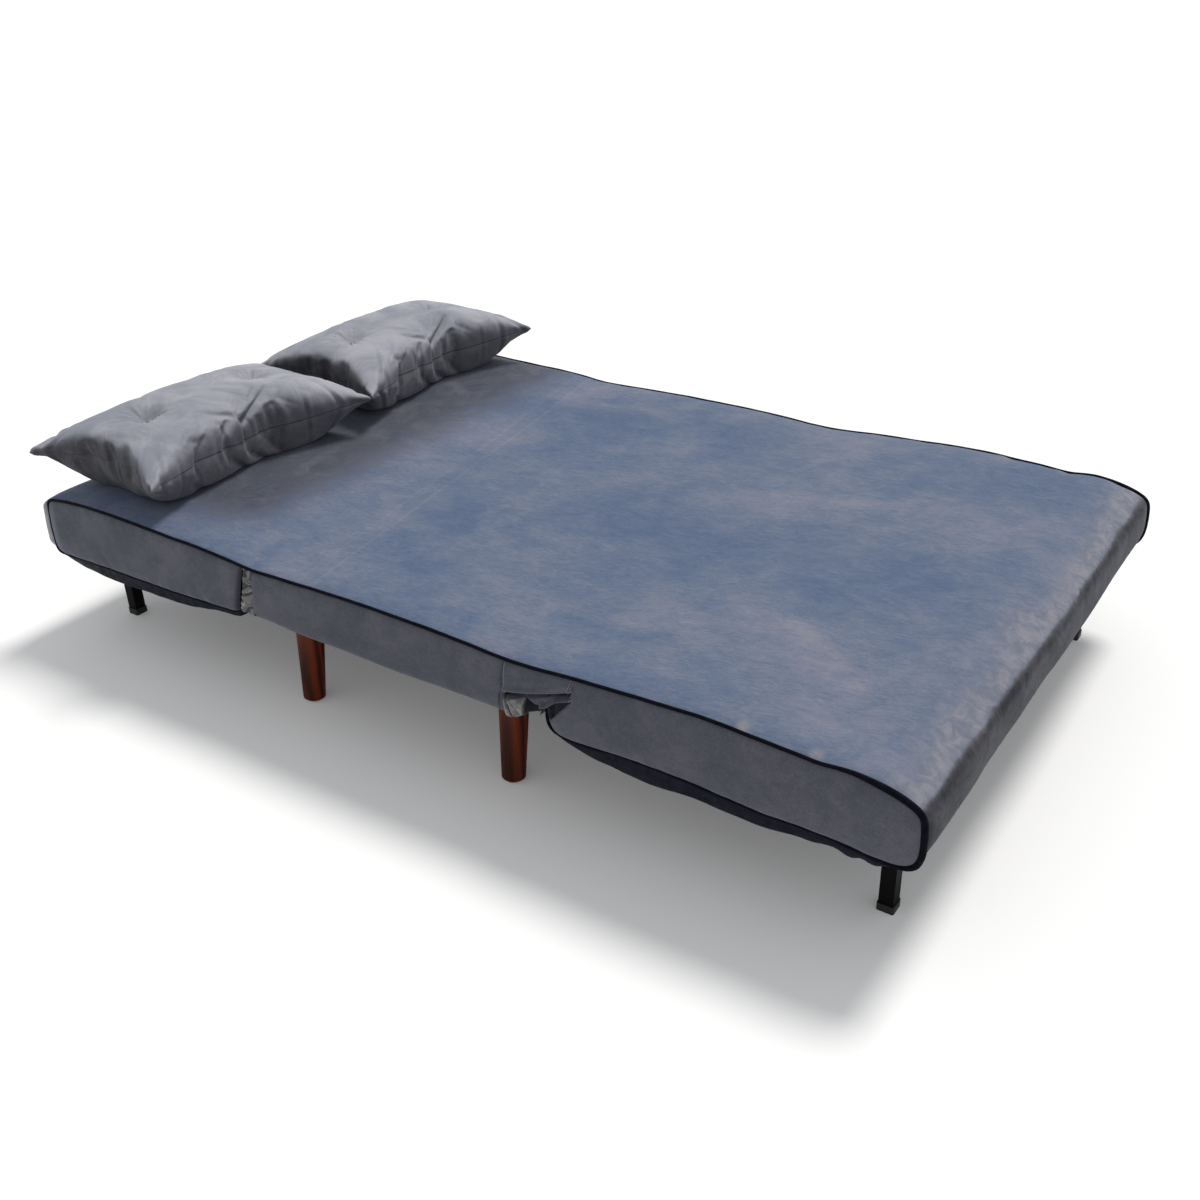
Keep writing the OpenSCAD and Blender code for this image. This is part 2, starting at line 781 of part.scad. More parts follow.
module back_slats() {
  color("burlywood") at_head() slat_row(hinge_rail_y, end_rail_at(head_length, head_leg_setback));
}

module back_slat_holders() {
  color("black") at_head() slat_holder_row(hinge_rail_y, end_rail_at(head_length, head_leg_setback));
}

module back_foam() {
  color("khaki") at_head() end_section_foam(head_length);
}

module back_cover() {
  color("slategray") at_head() end_section_cover(head_length, recline_gusset_w);
}

module back_underside() {
  color("darkslategray") at_head() end_section_underside(head_length, head_leg_setback, recline_gusset_w);
}

module back_piping() {
  color("midnightblue") at_head() end_section_piping(head_length);
}

module foot_side_rails() {
  color("dimgray") at_foot() end_section_side_rails(foot_length, foot_leg_setback);
}

module foot_hinge_rail() {
  color("dimgray") at_foot() square_tube_x(hinge_rail_y, cross_half);
}

module foot_end_rail() {
  color("dimgray") at_foot() square_tube_x(end_rail_at(foot_length, foot_leg_setback), cross_half);
}

module foot_slats() {
  color("burlywood") at_foot() slat_row(hinge_rail_y, end_rail_at(foot_length, foot_leg_setback));
}

module foot_slat_holders() {
  color("black") at_foot() slat_holder_row(hinge_rail_y, end_rail_at(foot_length, foot_leg_setback));
}

module foot_foam() {
  color("khaki") at_foot() end_section_foam(foot_length);
}

module foot_cover() {
  color("slategray") at_foot() end_section_cover(foot_length, fold_gusset_w);
}

module foot_underside() {
  color("darkslategray") at_foot() end_section_underside(foot_length, foot_leg_setback, fold_gusset_w);
}

module foot_piping() {
  color("midnightblue") at_foot() end_section_piping(foot_length);
}

// ---- Folding steel legs ----

cap_wall = 2;
cap_h = 14;
cap_floor = 4;
axle_gap = 0.5;
axle_half = cross_half - axle_gap;
axle_plug = 30;
axle_bore_r = axle_r - 1.5;
bolt_head_r = 8;
bolt_head_t = 3;

// Round pivot tube with drilled plugs in its ends
module leg_axle() {
  translate([-axle_half, 0, axle_z]) rotate([0, 90, 0]) difference() {
    cylinder(r = axle_r, h = 2 * axle_half);
    translate([0, 0, -1]) cylinder(r = axle_bolt_r + fit, h = 2 * axle_half + 2);
    translate([0, 0, axle_plug]) cylinder(r = axle_bore_r, h = 2 * (axle_half - axle_plug));
  }
}

// Square legs, coped to the pivot tube that they are welded to
module leg_posts() {
  both_sides() difference() {
    translate([post_x - post / 2, -post / 2, cap_floor]) cube([post, post, axle_z - cap_floor]);
    translate([post_x - post / 2 + tube_wall, -post / 2 + tube_wall, cap_floor - 1])
      cube([post - 2 * tube_wall, post - 2 * tube_wall, axle_z]);
    translate([0, 0, axle_z]) rotate([0, 90, 0]) cylinder(r = axle_r + fit, h = half_width);
  }
}

module leg_caps() {
  w = post + 2 * cap_wall;
  both_sides() translate([post_x, 0, 0]) difference() {
    linear_extrude(cap_h) rounded_square(w, cap_wall + 1);
    translate([-post / 2 - fit, -post / 2 - fit, cap_floor]) cube([post + 2 * fit, post + 2 * fit, cap_h]);
  }
}

module leg_pivot_bolts() {
  both_sides() translate([0, 0, axle_z]) rotate([0, 90, 0]) {
    translate([0, 0, axle_half - axle_plug + 2]) cylinder(r = axle_bolt_r, h = rail_x - axle_half + axle_plug - 2);
    translate([0, 0, rail_x]) cylinder(r = bolt_head_r, h = bolt_head_t);
  }
}

module at_head_axle() {
  translate([0, head_axle_y, 0]) children();
}

module at_foot_axle() {
  translate([0, foot_axle_y, 0]) children();
}

module head_leg_axle() {
  color("black") at_head_axle() leg_axle();
}

module head_leg_posts() {
  color("black") at_head_axle() leg_posts();
}

module head_leg_caps() {
  color("dimgray") at_head_axle() leg_caps();
}

module head_leg_bolts() {
  color("silver") at_head_axle() leg_pivot_bolts();
}

module foot_leg_axle() {
  color("black") at_foot_axle() leg_axle();
}

module foot_leg_posts() {
  color("black") at_foot_axle() leg_posts();
}

module foot_leg_caps() {
  color("dimgray") at_foot_axle() leg_caps();
}

module foot_leg_bolts() {
  color("silver") at_foot_axle() leg_pivot_bolts();
}

// ---- Pillows ----

pillow_gap = 4;
pillow_side_gap = 2;
pillow_seam = 0.42;          // height of the seam, as a share of the thickness
pillow_waist = 0.05;         // how far each edge curves in between two corners
button_h = 6;
tuft_depth = 24;
tuft_spread = 55;
nu = 20;
nv = 12;
pillow_right_x = half_width - pillow_side_gap - pillow_w / 2;
pillow_left_x = pillow_right_x - pillow_w - pillow_gap;
pillow_y = head_end_y + pillow_overhang - pillow_l / 2;
pillow_z = panel_top_z + seat_fit;

// Fullness of a pillow over its seam, from 1 in the middle to 0 at the edge
function fullness(u, v) = pow(max(1 - pow(abs(u), 2.6), 0) * max(1 - pow(abs(v), 2.6), 0), 0.55);
function pillow_plan(u, v) = [
  pillow_w / 2 * u * (1 - pillow_waist * (1 - v * v)),
  pillow_l / 2 * v * (1 - pillow_waist * (1 - u * u))];
function tuft(p) = let (d = norm([abs(p[0]) - button_spacing / 2, p[1]]) / tuft_spread) exp(-d * d);
function pillow_top(u, v) = pillow_t * (pillow_seam + (1 - pillow_seam) * fullness(u, v))
  - tuft_depth * tuft(pillow_plan(u, v)) * fullness(u, v);
function pillow_low(u, v) = max(0, pillow_t * pillow_seam * (1 - 1.5 * fullness(u, v)));

// Two triangles of a quad, split from its first corner or from its second
function split_quad(q, first) = first ? [[q[0], q[1], q[2]], [q[0], q[2], q[3]]] : [[q[1], q[2], q[3]], [q[1], q[3], q[0]]];

// Closed form of a knife-edge pillow, its two faces meeting at a seam
module pillow_form() {
  row = nu + 1;
  count = row * (nv + 1);
  us = [for (i = [0:nu]) 2 * i / nu - 1];
  vs = [for (j = [0:nv]) 2 * j / nv - 1];
  top = [for (v = vs, u = us) concat(pillow_plan(u, v), pillow_top(u, v))];
  low = [for (v = vs, u = us) concat(pillow_plan(u, v), pillow_low(u, v))];
  rim = function(i, j) i == 0 || i == nu || j == 0 || j == nv;
  at_top = function(i, j) j * row + i;
  at_low = function(i, j) rim(i, j) ? at_top(i, j) : count + j * row + i;
  faces = [for (j = [0:nv - 1], i = [0:nu - 1])
    let (inward = (i < nu / 2) == (j < nv / 2)) each concat(
      split_quad([at_top(i, j), at_top(i, j + 1), at_top(i + 1, j + 1), at_top(i + 1, j)], inward),
      split_quad([at_low(i + 1, j), at_low(i + 1, j + 1), at_low(i, j + 1), at_low(i, j)], !inward))];
  polyhedron(points = concat(top, low), faces = faces, convexity = 4);
}

button_seat_z = pillow_top(button_spacing / pillow_w, 0) - button_h / 2;

module at_buttons() {
  for (x = [-1, 1]) translate([x * button_spacing / 2, 0, button_seat_z]) children();
}

module pillow() {
  difference() {
    pillow_form();
    at_buttons() cylinder(r = button_r + seat_fit, h = tuft_depth);
  }
}

// Covered button with a domed top
module pillow_button() {
  dome_r = 2.2 * button_r;
  intersection() {
    cylinder(r = button_r, h = button_h);
    translate([0, 0, button_h - dome_r]) sphere(r = dome_r, $fn = 64);
  }
}

module pillow_left() {
  color("lightslategray") translate([pillow_left_x, pillow_y, pillow_z]) pillow();
}

module pillow_left_buttons() {
  color("slategray") translate([pillow_left_x, pillow_y, pillow_z]) at_buttons() pillow_button();
}

module pillow_right() {
  color("lightslategray") translate([pillow_right_x, pillow_y, pillow_z]) pillow();
}

module pillow_right_buttons() {
  color("slategray") translate([pillow_right_x, pillow_y, pillow_z]) at_buttons() pillow_button();
}

seat_side_rails();
seat_rear_rail();
seat_front_rail();
seat_leg_bar();
seat_slats();
seat_slat_holders();
seat_foam();
seat_cover();
seat_dust_cover();
seat_piping();
leg_rear_left();
leg_rear_right();
leg_front_left();
leg_front_right();
leg_plates();
leg_bolts();
leg_glides();
back_side_rails();
back_hinge_rail();
back_end_rail();
back_slats();
back_slat_holders();
back_foam();
back_cover();
back_underside();
back_piping();
foot_side_rails();
foot_hinge_rail();
foot_end_rail();
foot_slats();
foot_slat_holders();
foot_foam();
foot_cover();
foot_underside();
foot_piping();
recline_fixed_plates();
recline_moving_plates();
recline_pins();
pawl_left();
pawl_right();
pawl_pins();
recline_gussets();
fold_seat_lugs();
fold_foot_lugs();
fold_pins();
fold_gussets();
head_leg_axle();
head_leg_posts();
head_leg_caps();
head_leg_bolts();
foot_leg_axle();
foot_leg_posts();
foot_leg_caps();
foot_leg_bolts();
pillow_left();
pillow_left_buttons();
pillow_right();
pillow_right_buttons();
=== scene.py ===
"""The futon sofa bed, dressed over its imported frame.

The frame gives every rail, slat, hinge and leg. This script sews the soft goods round them:
the velvet top, the boxed sides, the piping, the hinge gussets, the sagging base cloths and
the two tufted pillows. It then gives every part of the frame its own finish, and sets up
a plain pale studio.
"""

import logging
import math
from dataclasses import dataclass, field
from enum import Enum
from typing import Callable

import bmesh
import bpy
import numpy as np
from mathutils import Matrix, Vector


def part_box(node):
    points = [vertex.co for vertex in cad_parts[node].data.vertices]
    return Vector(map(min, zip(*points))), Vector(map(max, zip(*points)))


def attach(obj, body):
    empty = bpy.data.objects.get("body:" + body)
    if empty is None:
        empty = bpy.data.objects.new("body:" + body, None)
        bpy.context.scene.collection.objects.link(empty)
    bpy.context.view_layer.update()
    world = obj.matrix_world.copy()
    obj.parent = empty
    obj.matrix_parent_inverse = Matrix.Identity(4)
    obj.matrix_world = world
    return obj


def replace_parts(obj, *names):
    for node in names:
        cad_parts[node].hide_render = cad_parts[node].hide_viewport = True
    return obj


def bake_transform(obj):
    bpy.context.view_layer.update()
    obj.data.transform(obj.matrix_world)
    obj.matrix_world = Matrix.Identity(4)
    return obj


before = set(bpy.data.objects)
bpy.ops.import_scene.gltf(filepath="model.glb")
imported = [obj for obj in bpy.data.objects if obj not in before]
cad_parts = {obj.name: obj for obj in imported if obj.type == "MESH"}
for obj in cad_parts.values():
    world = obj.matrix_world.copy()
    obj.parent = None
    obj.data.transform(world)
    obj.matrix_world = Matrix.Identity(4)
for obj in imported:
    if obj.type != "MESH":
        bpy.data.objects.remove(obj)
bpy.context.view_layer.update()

CLOTH_MAP = "Cloth"
Array = np.ndarray
Colour = tuple[float, float, float]
Socket = bpy.types.NodeSocket

log = logging.getLogger("futon")


class Side(Enum):
    """The two long sides of the bed, as the sign of X."""

    LEFT = -1
    RIGHT = 1


class Panel(Enum):
    """The two outer panels, as the sign of Y at their far end."""

    HEAD = 1
    FOOT = -1


# ---------------------------------------------------------------- numbers


def smooth(value: Array) -> Array:
    """Eases values from 0 to 1 with a flat start and end."""
    t = np.clip(value, 0.0, 1.0)
    return t * t * (3.0 - 2.0 * t)


def bell(value: Array, middle: float, width: float) -> Array:
    """A bell curve of height 1 round a middle."""
    return np.exp(-(((value - middle) / width) ** 2))


def boxy(share: Array, square: int = 4) -> Array:
    """A bulge of height 1 across a share from 0 to 1, flatter on top as square rises."""
    return np.sqrt(np.clip(1.0 - (2.0 * share - 1.0) ** square, 0.0, 1.0))


def ripple(first: Array, second: Array, seed: int, size: float, layers: int = 3) -> Array:
    """Smooth seeded unevenness between about -1 and 1.

    Args:
        first: One coordinate of each point, in metres.
        second: The other coordinate.
        seed: Which unevenness to take.
        size: The width of the largest swells, in metres.
        layers: How many finer layers are added.

    Returns:
        One value for each point.
    """
    rng = np.random.default_rng(seed)
    total = np.zeros_like(first)
    weight = 0.0
    for layer in range(layers):
        scale = size / (1.9**layer)
        share = 0.55**layer
        for _ in range(4):
            turn, phase = rng.uniform(0, math.tau, 2)
            reach = rng.uniform(0.75, 1.3)
            along = (first * math.cos(turn) + second * math.sin(turn)) * reach / scale
            total += share * 0.5 * np.sin(along * math.tau * 0.5 + phase)
        weight += share
    return total / weight


def rounded(points: tuple[tuple[float, float], ...], rounds: int = 4) -> Array:
    """Cuts the corners of a path until it runs smoothly.

    Args:
        points: The corners of the path, as (y, z).
        rounds: How often the corners are cut.

    Returns:
        The points of the smooth path, with both ends kept.
    """
    path = np.array(points, float)
    for _ in range(rounds):
        early = 0.75 * path[:-1] + 0.25 * path[1:]
        late = 0.25 * path[:-1] + 0.75 * path[1:]
        mixed = np.empty((2 * len(early), 2))
        mixed[0::2], mixed[1::2] = early, late
        path = np.vstack([path[:1], mixed[1:-1], path[-1:]])
    return path


@dataclass(frozen=True)
class Run:
    """A smooth path seen from the side of the bed, walked by its length."""

    points: tuple[tuple[float, float], ...]

    @property
    def path(self) -> Array:
        """The smooth path, as rows of (y, z)."""
        return rounded(self.points)

    @property
    def walked(self) -> Array:
        """The length walked at each point of the path."""
        step = np.hypot(*np.diff(self.path, axis=0).T)
        return np.concatenate([[0.0], np.cumsum(step)])

    @property
    def length(self) -> float:
        """The whole length of the path."""
        return float(self.walked[-1])

    def at(self, length: Array) -> Array:
        """The (y, z) at a walked length."""
        path, walked = self.path, self.walked
        return np.stack([np.interp(length, walked, path[:, k]) for k in (0, 1)], -1)

    def outward(self, length: Array, turn: float) -> Array:
        """The unit (y, z) square to the path, to the side that turn picks."""
        step = self.at(length + 0.002) - self.at(length - 0.002)
        step /= np.maximum(np.linalg.norm(step, axis=-1, keepdims=True), 1e-9)
        return np.stack([-step[..., 1], step[..., 0]], -1) * turn

    def turn_at(self) -> int:
        """The index of the point furthest from the middle of the bed."""
        return int(np.argmax(np.abs(self.path[:, 0])))


# ---------------------------------------------------------------- mesh making


def to_object(name: str, mesh: bpy.types.Mesh) -> bpy.types.Object:
    """Links a mesh, shaded smooth, as a new object at the origin."""
    obj = bpy.data.objects.new(name, mesh)
    bpy.context.scene.collection.objects.link(obj)
    mesh.polygons.foreach_set("use_smooth", [True] * len(mesh.polygons))
    return obj


def from_bmesh(name: str, bm: bmesh.types.BMesh) -> bpy.types.Object:
    """Turns a finished bmesh into an object and frees it."""
    mesh = bpy.data.meshes.new(name)
    bm.normal_update()
    bm.to_mesh(mesh)
    bm.free()
    return to_object(name, mesh)


def settled(obj: bpy.types.Object) -> bpy.types.Object:
    """Applies every modifier to the object's own mesh."""
    graph = bpy.context.evaluated_depsgraph_get()
    mesh = bpy.data.meshes.new_from_object(obj.evaluated_get(graph))
    obj.modifiers.clear()
    obj.data = mesh
    return obj


def paint(obj: bpy.types.Object, name: str, values: Array) -> None:
    """Stores one value for each point of a mesh, for its finish to read."""
    layer = obj.data.attributes.get(name) or obj.data.attributes.new(name, "FLOAT", "POINT")
    layer.data.foreach_set("value", np.clip(values, 0.0, 1.0).astype(np.float32))


def points(obj: bpy.types.Object) -> Array:
    """The points of an object's mesh, as rows of (x, y, z)."""
    co = np.empty(len(obj.data.vertices) * 3)
    obj.data.vertices.foreach_get("co", co)
    return co.reshape(-1, 3)


def normals(obj: bpy.types.Object) -> Array:
    """The way each point of an object's mesh faces, as rows of (x, y, z)."""
    out = np.empty(len(obj.data.vertices) * 3)
    obj.data.vertex_normals.foreach_get("vector", out)
    return out.reshape(-1, 3)


def cloth_map(mesh: bpy.types.Mesh, flat: Array) -> None:
    """Writes flat cloth coordinates, in metres, as the mesh's UV map."""
    layer = mesh.uv_layers.get(CLOTH_MAP) or mesh.uv_layers.new(name=CLOTH_MAP)
    corner = np.empty(len(mesh.loops), np.int32)
    mesh.loops.foreach_get("vertex_index", corner)
    layer.data.foreach_set("uv", flat[corner].astype(np.float32).ravel())


def woven(
    name: str,
    columns: int,
    rows: int,
    place: Callable[[Array, Array], tuple[Array, Array]],
    flip: bool = False,
    thickness: float = 0.0,
    cut: Callable[[Array, Array], Array] | None = None,
) -> bpy.types.Object:
    """Makes a cloth from a grid and lays it in place.

    Args:
        name: The piece's name.
        columns: How many squares it has across.
        rows: How many squares it has along.
        place: Takes each point's two shares, from 0 to 1, and gives its place and its
            flat cloth coordinates in metres.
        flip: Whether its faces are turned over.
        thickness: The cloth's thickness, or 0 for a single skin.
        cut: Takes the two shares at each face's middle and says which faces are cut away.

    Returns:
        The new object.
    """
    bm = bmesh.new()
    bmesh.ops.create_grid(bm, x_segments=columns, y_segments=rows, size=0.5)
    bm.verts.index_update()
    start = np.array([v.co[:] for v in bm.verts])
    low, high = start.min(0), start.max(0)
    u = (start[:, 0] - low[0]) / (high[0] - low[0])
    v = (start[:, 1] - low[1]) / (high[1] - low[1])
    if cut is not None:
        middle = np.array([f.calc_center_median()[:2] for f in bm.faces])
        gone = cut(*((middle - low[:2]) / (high - low)[:2]).T)
    where, flat = place(u, v)
    for vert, point in zip(bm.verts, where):
        vert.co = point
    if cut is not None:
        faces = [face for face, drop in zip(list(bm.faces), gone) if drop]
        keep = bm.verts.layers.int.new("keep")
        for vert in bm.verts:
            vert[keep] = vert.index
        bmesh.ops.delete(bm, geom=faces, context="FACES")
        flat = flat[[vert[keep] for vert in bm.verts]]
        bm.verts.layers.int.remove(bm.verts.layers.int["keep"])
    if flip:
        bmesh.ops.reverse_faces(bm, faces=bm.faces[:])
    obj = from_bmesh(name, bm)
    cloth_map(obj.data, flat)
    if thickness:
        wall = obj.modifiers.new("thickness", "SOLIDIFY")
        wall.thickness = thickness
        wall.offset = -1.0
        settled(obj)
    return obj


def corded(name: str, path: Array, radius: float | Array, closed: bool = False) -> bpy.types.Object:
    """Makes a round cord along a path.

    Args:
        name: The piece's name.
        path: Its middle line, as rows of (x, y, z).
        radius: Its radius, or one radius for each point.
        closed: Whether its end meets its start.

    Returns:
        The new object, as a mesh.
    """
    curve = bpy.data.curves.new(name + "_line", "CURVE")
    curve.dimensions = "3D"
    curve.bevel_depth = 1.0
    curve.bevel_resolution = 3
    curve.use_fill_caps = not closed
    line = curve.splines.new("POLY")
    line.points.add(len(path) - 1)
    line.points.foreach_set("co", np.column_stack([path, np.ones(len(path))]).ravel())
    line.points.foreach_set("radius", np.broadcast_to(radius, len(path)).astype(float))
    line.use_cyclic_u = closed
    holder = bpy.data.objects.new(name + "_line", curve)
    bpy.context.scene.collection.objects.link(holder)
    graph = bpy.context.evaluated_depsgraph_get()
    mesh = bpy.data.meshes.new_from_object(holder.evaluated_get(graph))
    bpy.data.objects.remove(holder)
    return to_object(name, mesh)


# ---------------------------------------------------------------- shader parts


class Tree:
    """A node tree with short calls for adding and joining nodes."""

    def __init__(self, tree: bpy.types.NodeTree) -> None:
        """Wraps a node tree."""
        self.tree = tree

    def add(self, kind: str, links: dict | None = None, **values: object) -> bpy.types.Node:
        """Adds a node.

        Args:
            kind: The node's type name, without its ShaderNode start.
            links: What each named or numbered input is joined to, or its plain value.
            **values: The node's own settings.

        Returns:
            The new node.
        """
        known = kind if kind.startswith("NodeGroup") else "ShaderNode" + kind
        node = self.tree.nodes.new(known)
        for key, value in values.items():
            setattr(node, key, value)
        for key, value in (links or {}).items():
            if isinstance(value, Socket):
                self.tree.links.new(value, node.inputs[key])
            else:
                node.inputs[key].default_value = value
        return node

    def math(self, operation: str, *inputs: object, clamp: bool = False) -> Socket:
        """Adds a maths node and gives its output."""
        node = self.add("Math", dict(enumerate(inputs)), operation=operation, use_clamp=clamp)
        return node.outputs[0]

    def ramp(self, value: Socket, *stops: tuple[float, Colour]) -> Socket:
        """Adds a colour ramp with the given stops and gives its colour."""
        node = self.add("ValToRGB", {"Fac": value})
        ramp = node.color_ramp
        while len(ramp.elements) < len(stops):
            ramp.elements.new(0.5)
        for element, (place, colour) in zip(ramp.elements, stops):
            element.position = place
            element.color = (*colour, 1.0)
        return node.outputs["Color"]

    def span(self, value: object, low: float, high: float, out_low: float, out_high: float) -> Socket:
        """Maps a range to another with a smooth step and gives the result."""
        links = {0: value, 1: low, 2: high, 3: out_low, 4: out_high}
        return self.add("MapRange", links, interpolation_type="SMOOTHSTEP").outputs[0]

    def mix(self, share: object, first: object, second: object) -> Socket:
        """Mixes two colours and gives the result."""
        return self.add("Mix", {0: share, 6: first, 7: second}, data_type="RGBA").outputs[2]

    def noise(
        self, vector: Socket, scale: object, detail: float = 4.0, rough: float = 0.55, curl: float = 0.0
    ) -> Socket:
        """Adds a noise texture and gives its value."""
        links = {"Vector": vector, "Scale": scale, "Detail": detail, "Roughness": rough, "Distortion": curl}
        return self.add("TexNoise", links).outputs[0]

    def turned(
        self,
        vector: Socket,
        scale: tuple[float, float, float] = (1, 1, 1),
        turn: tuple[float, float, float] = (0, 0, 0),
    ) -> Socket:
        """Adds a mapping node and gives the mapped vector."""
        links = {"Vector": vector, "Scale": scale, "Rotation": turn}
        return self.add("Mapping", links).outputs[0]


def new_group(name: str, inputs: dict[str, tuple[str, object]], outputs: tuple[str, ...]) -> tuple:
    """Starts a shader node group.

    Args:
        name: The group's name.
        inputs: The kind and plain value of each input, by name.
        outputs: The names of its outputs, which are plain values.

    Returns:
        The group, its tree, the sockets that come in, and the node that takes its outputs.
    """
    group = bpy.data.node_groups.new(name, "ShaderNodeTree")
    for key, (kind, value) in inputs.items():
        socket = group.interface.new_socket(key, in_out="INPUT", socket_type=kind)
        if value is not None:
            socket.default_value = value
    for key in outputs:
        group.interface.new_socket(key, in_out="OUTPUT", socket_type="NodeSocketFloat")
    tree = Tree(group)
    source = tree.add("NodeGroupInput")
    sink = tree.add("NodeGroupOutput")
    return group, tree, source.outputs, sink


FLOAT = "NodeSocketFloat"
VECTOR = "NodeSocketVector"


@dataclass
class ShaderKit:
    """The node groups that several finishes share, each built once."""

    groups: dict[str, bpy.types.NodeTree] = field(default_factory=dict)

    def build(self) -> None:
        """Builds every shared group."""
        self.nap()
        self.weave()
        self.speckle()
        self.grain()
        self.mark()

    def nap(self) -> None:
        """Velvet pile: where it is brushed light or dark, its streaks and its fuzz."""
        group, tree, source, sink = new_group(
            "velvet_nap",
            {
                "Vector": (VECTOR, None),
                "Patch": (FLOAT, 3.2),
                "Streak": (FLOAT, 300.0),
                "Fuzz": (FLOAT, 520.0),
            },
            ("Patches", "Streaks", "Height"),
        )
        vector = source["Vector"]
        wide = tree.noise(tree.turned(vector, (1.0, 0.85, 1.0)), source["Patch"], 3.0, 0.55, 0.7)
        finer = tree.math("MULTIPLY", source["Patch"], 5.5)
        fine = tree.noise(tree.turned(vector, (1.0, 0.60, 1.0)), finer, 7.0, 0.70, 0.6)
        patches = tree.math("ADD", tree.math("MULTIPLY", wide, 0.60), tree.math("MULTIPLY", fine, 0.40))
        brushed = tree.noise(tree.turned(vector, (1.0, 0.22, 1.0)), source["Streak"], 4.0, 0.65, 0.8)
        broad = tree.math("MULTIPLY", source["Streak"], 0.30)
        swept = tree.noise(tree.turned(vector, (1.0, 0.34, 1.0)), broad, 5.0, 0.65, 1.2)
        fuzz = tree.noise(vector, source["Fuzz"], 2.0, 0.5)
        brushed = tree.math("ADD", tree.math("MULTIPLY", brushed, 0.50), tree.math("MULTIPLY", fuzz, 0.22))
        streaks = tree.math("ADD", brushed, tree.math("MULTIPLY", swept, 0.28))
        height = tree.math("ADD", tree.math("MULTIPLY", streaks, 0.6), tree.math("MULTIPLY", fuzz, 0.3))
        for name, value in (("Patches", patches), ("Streaks", streaks), ("Height", height)):
            tree.tree.links.new(value, sink.inputs[name])
        self.groups["nap"] = group

    def weave(self) -> None:
        """Plain woven cloth: threads over and under, with uneven yarn."""
        group, tree, source, sink = new_group(
            "plain_weave", {"Vector": (VECTOR, None), "Threads": (FLOAT, 900.0)}, ("Height", "Yarn")
        )
        parts = tree.add("SeparateXYZ", {0: source["Vector"]}).outputs
        waves = []
        for axis in (0, 1):
            run = tree.math("MULTIPLY", parts[axis], source["Threads"])
            waves.append(tree.math("ABSOLUTE", tree.math("SINE", run)))
        height = tree.math("MAXIMUM", waves[0], waves[1])
        yarn = tree.noise(source["Vector"], 60.0, 5.0, 0.7)
        tree.tree.links.new(tree.math("ADD", height, tree.math("MULTIPLY", yarn, 0.6)), sink.inputs["Height"])
        tree.tree.links.new(yarn, sink.inputs["Yarn"])
        self.groups["weave"] = group

    def speckle(self) -> None:
        """Fine grit and soft rubbing, as on powder coat, moulded plastic and zinc."""
        group, tree, source, sink = new_group(
            "grit_and_rub",
            {"Vector": (VECTOR, None), "Grit": (FLOAT, 900.0), "Rub": (FLOAT, 14.0)},
            ("Grit", "Rub"),
        )
        grit = tree.noise(source["Vector"], source["Grit"], 2.0, 0.5)
        rub = tree.noise(source["Vector"], source["Rub"], 6.0, 0.65)
        tree.tree.links.new(grit, sink.inputs["Grit"])
        tree.tree.links.new(tree.span(rub, 0.35, 0.7, 0.0, 1.0), sink.inputs["Rub"])
        self.groups["speckle"] = group

    def grain(self) -> None:
        """Wood grain along one axis: rings, pores and rays."""
        group, tree, source, sink = new_group(
            "wood_grain",
            {"Vector": (VECTOR, None), "Rings": (FLOAT, 30.0), "Pores": (FLOAT, 260.0)},
            ("Rings", "Pores"),
        )
        vector = source["Vector"]
        bend = tree.noise(tree.turned(vector, (3.0, 3.0, 0.6)), 3.0, 3.0, 0.5)
        parts = tree.add("SeparateXYZ", {0: vector}).outputs
        along = tree.math("ADD", parts[0], tree.math("MULTIPLY", bend, 0.035))
        turns = tree.math("MULTIPLY", along, source["Rings"])
        wave = tree.math("SINE", tree.math("MULTIPLY", turns, math.tau))
        rings = tree.math("MULTIPLY_ADD", wave, 0.5, 0.5)
        fibre = tree.noise(tree.turned(vector, (1.0, 1.0, 0.05)), source["Pores"], 4.0, 0.7)
        tree.tree.links.new(
            tree.math("ADD", tree.math("MULTIPLY", rings, 0.45), tree.math("MULTIPLY", fibre, 0.55)),
            sink.inputs["Rings"],
        )
        tree.tree.links.new(tree.span(fibre, 0.5, 0.68, 0.0, 1.0), sink.inputs["Pores"])
        self.groups["grain"] = group

    def mark(self) -> None:
        """A soft band pressed across the cloth at one height of a coordinate."""
        group, tree, source, sink = new_group(
            "pressed_band",
            {"Value": (FLOAT, 0.0), "Middle": (FLOAT, 0.0), "Width": (FLOAT, 0.01)},
            ("Band",),
        )
        away = tree.math("ABSOLUTE", tree.math("SUBTRACT", source["Value"], source["Middle"]))
        share = tree.math("DIVIDE", away, source["Width"])
        tree.tree.links.new(tree.span(share, 0.0, 1.0, 1.0, 0.0), sink.inputs["Band"])
        self.groups["mark"] = group

    def use(self, tree: Tree, name: str, **links: object) -> bpy.types.NodeOutputs:
        """Places a shared group in a material and gives its outputs."""
        node = tree.add("Group", node_tree=self.groups[name])
        for key, value in links.items():
            if isinstance(value, Socket):
                tree.tree.links.new(value, node.inputs[key])
            else:
                node.inputs[key].default_value = value
        return node.outputs


KIT = ShaderKit()


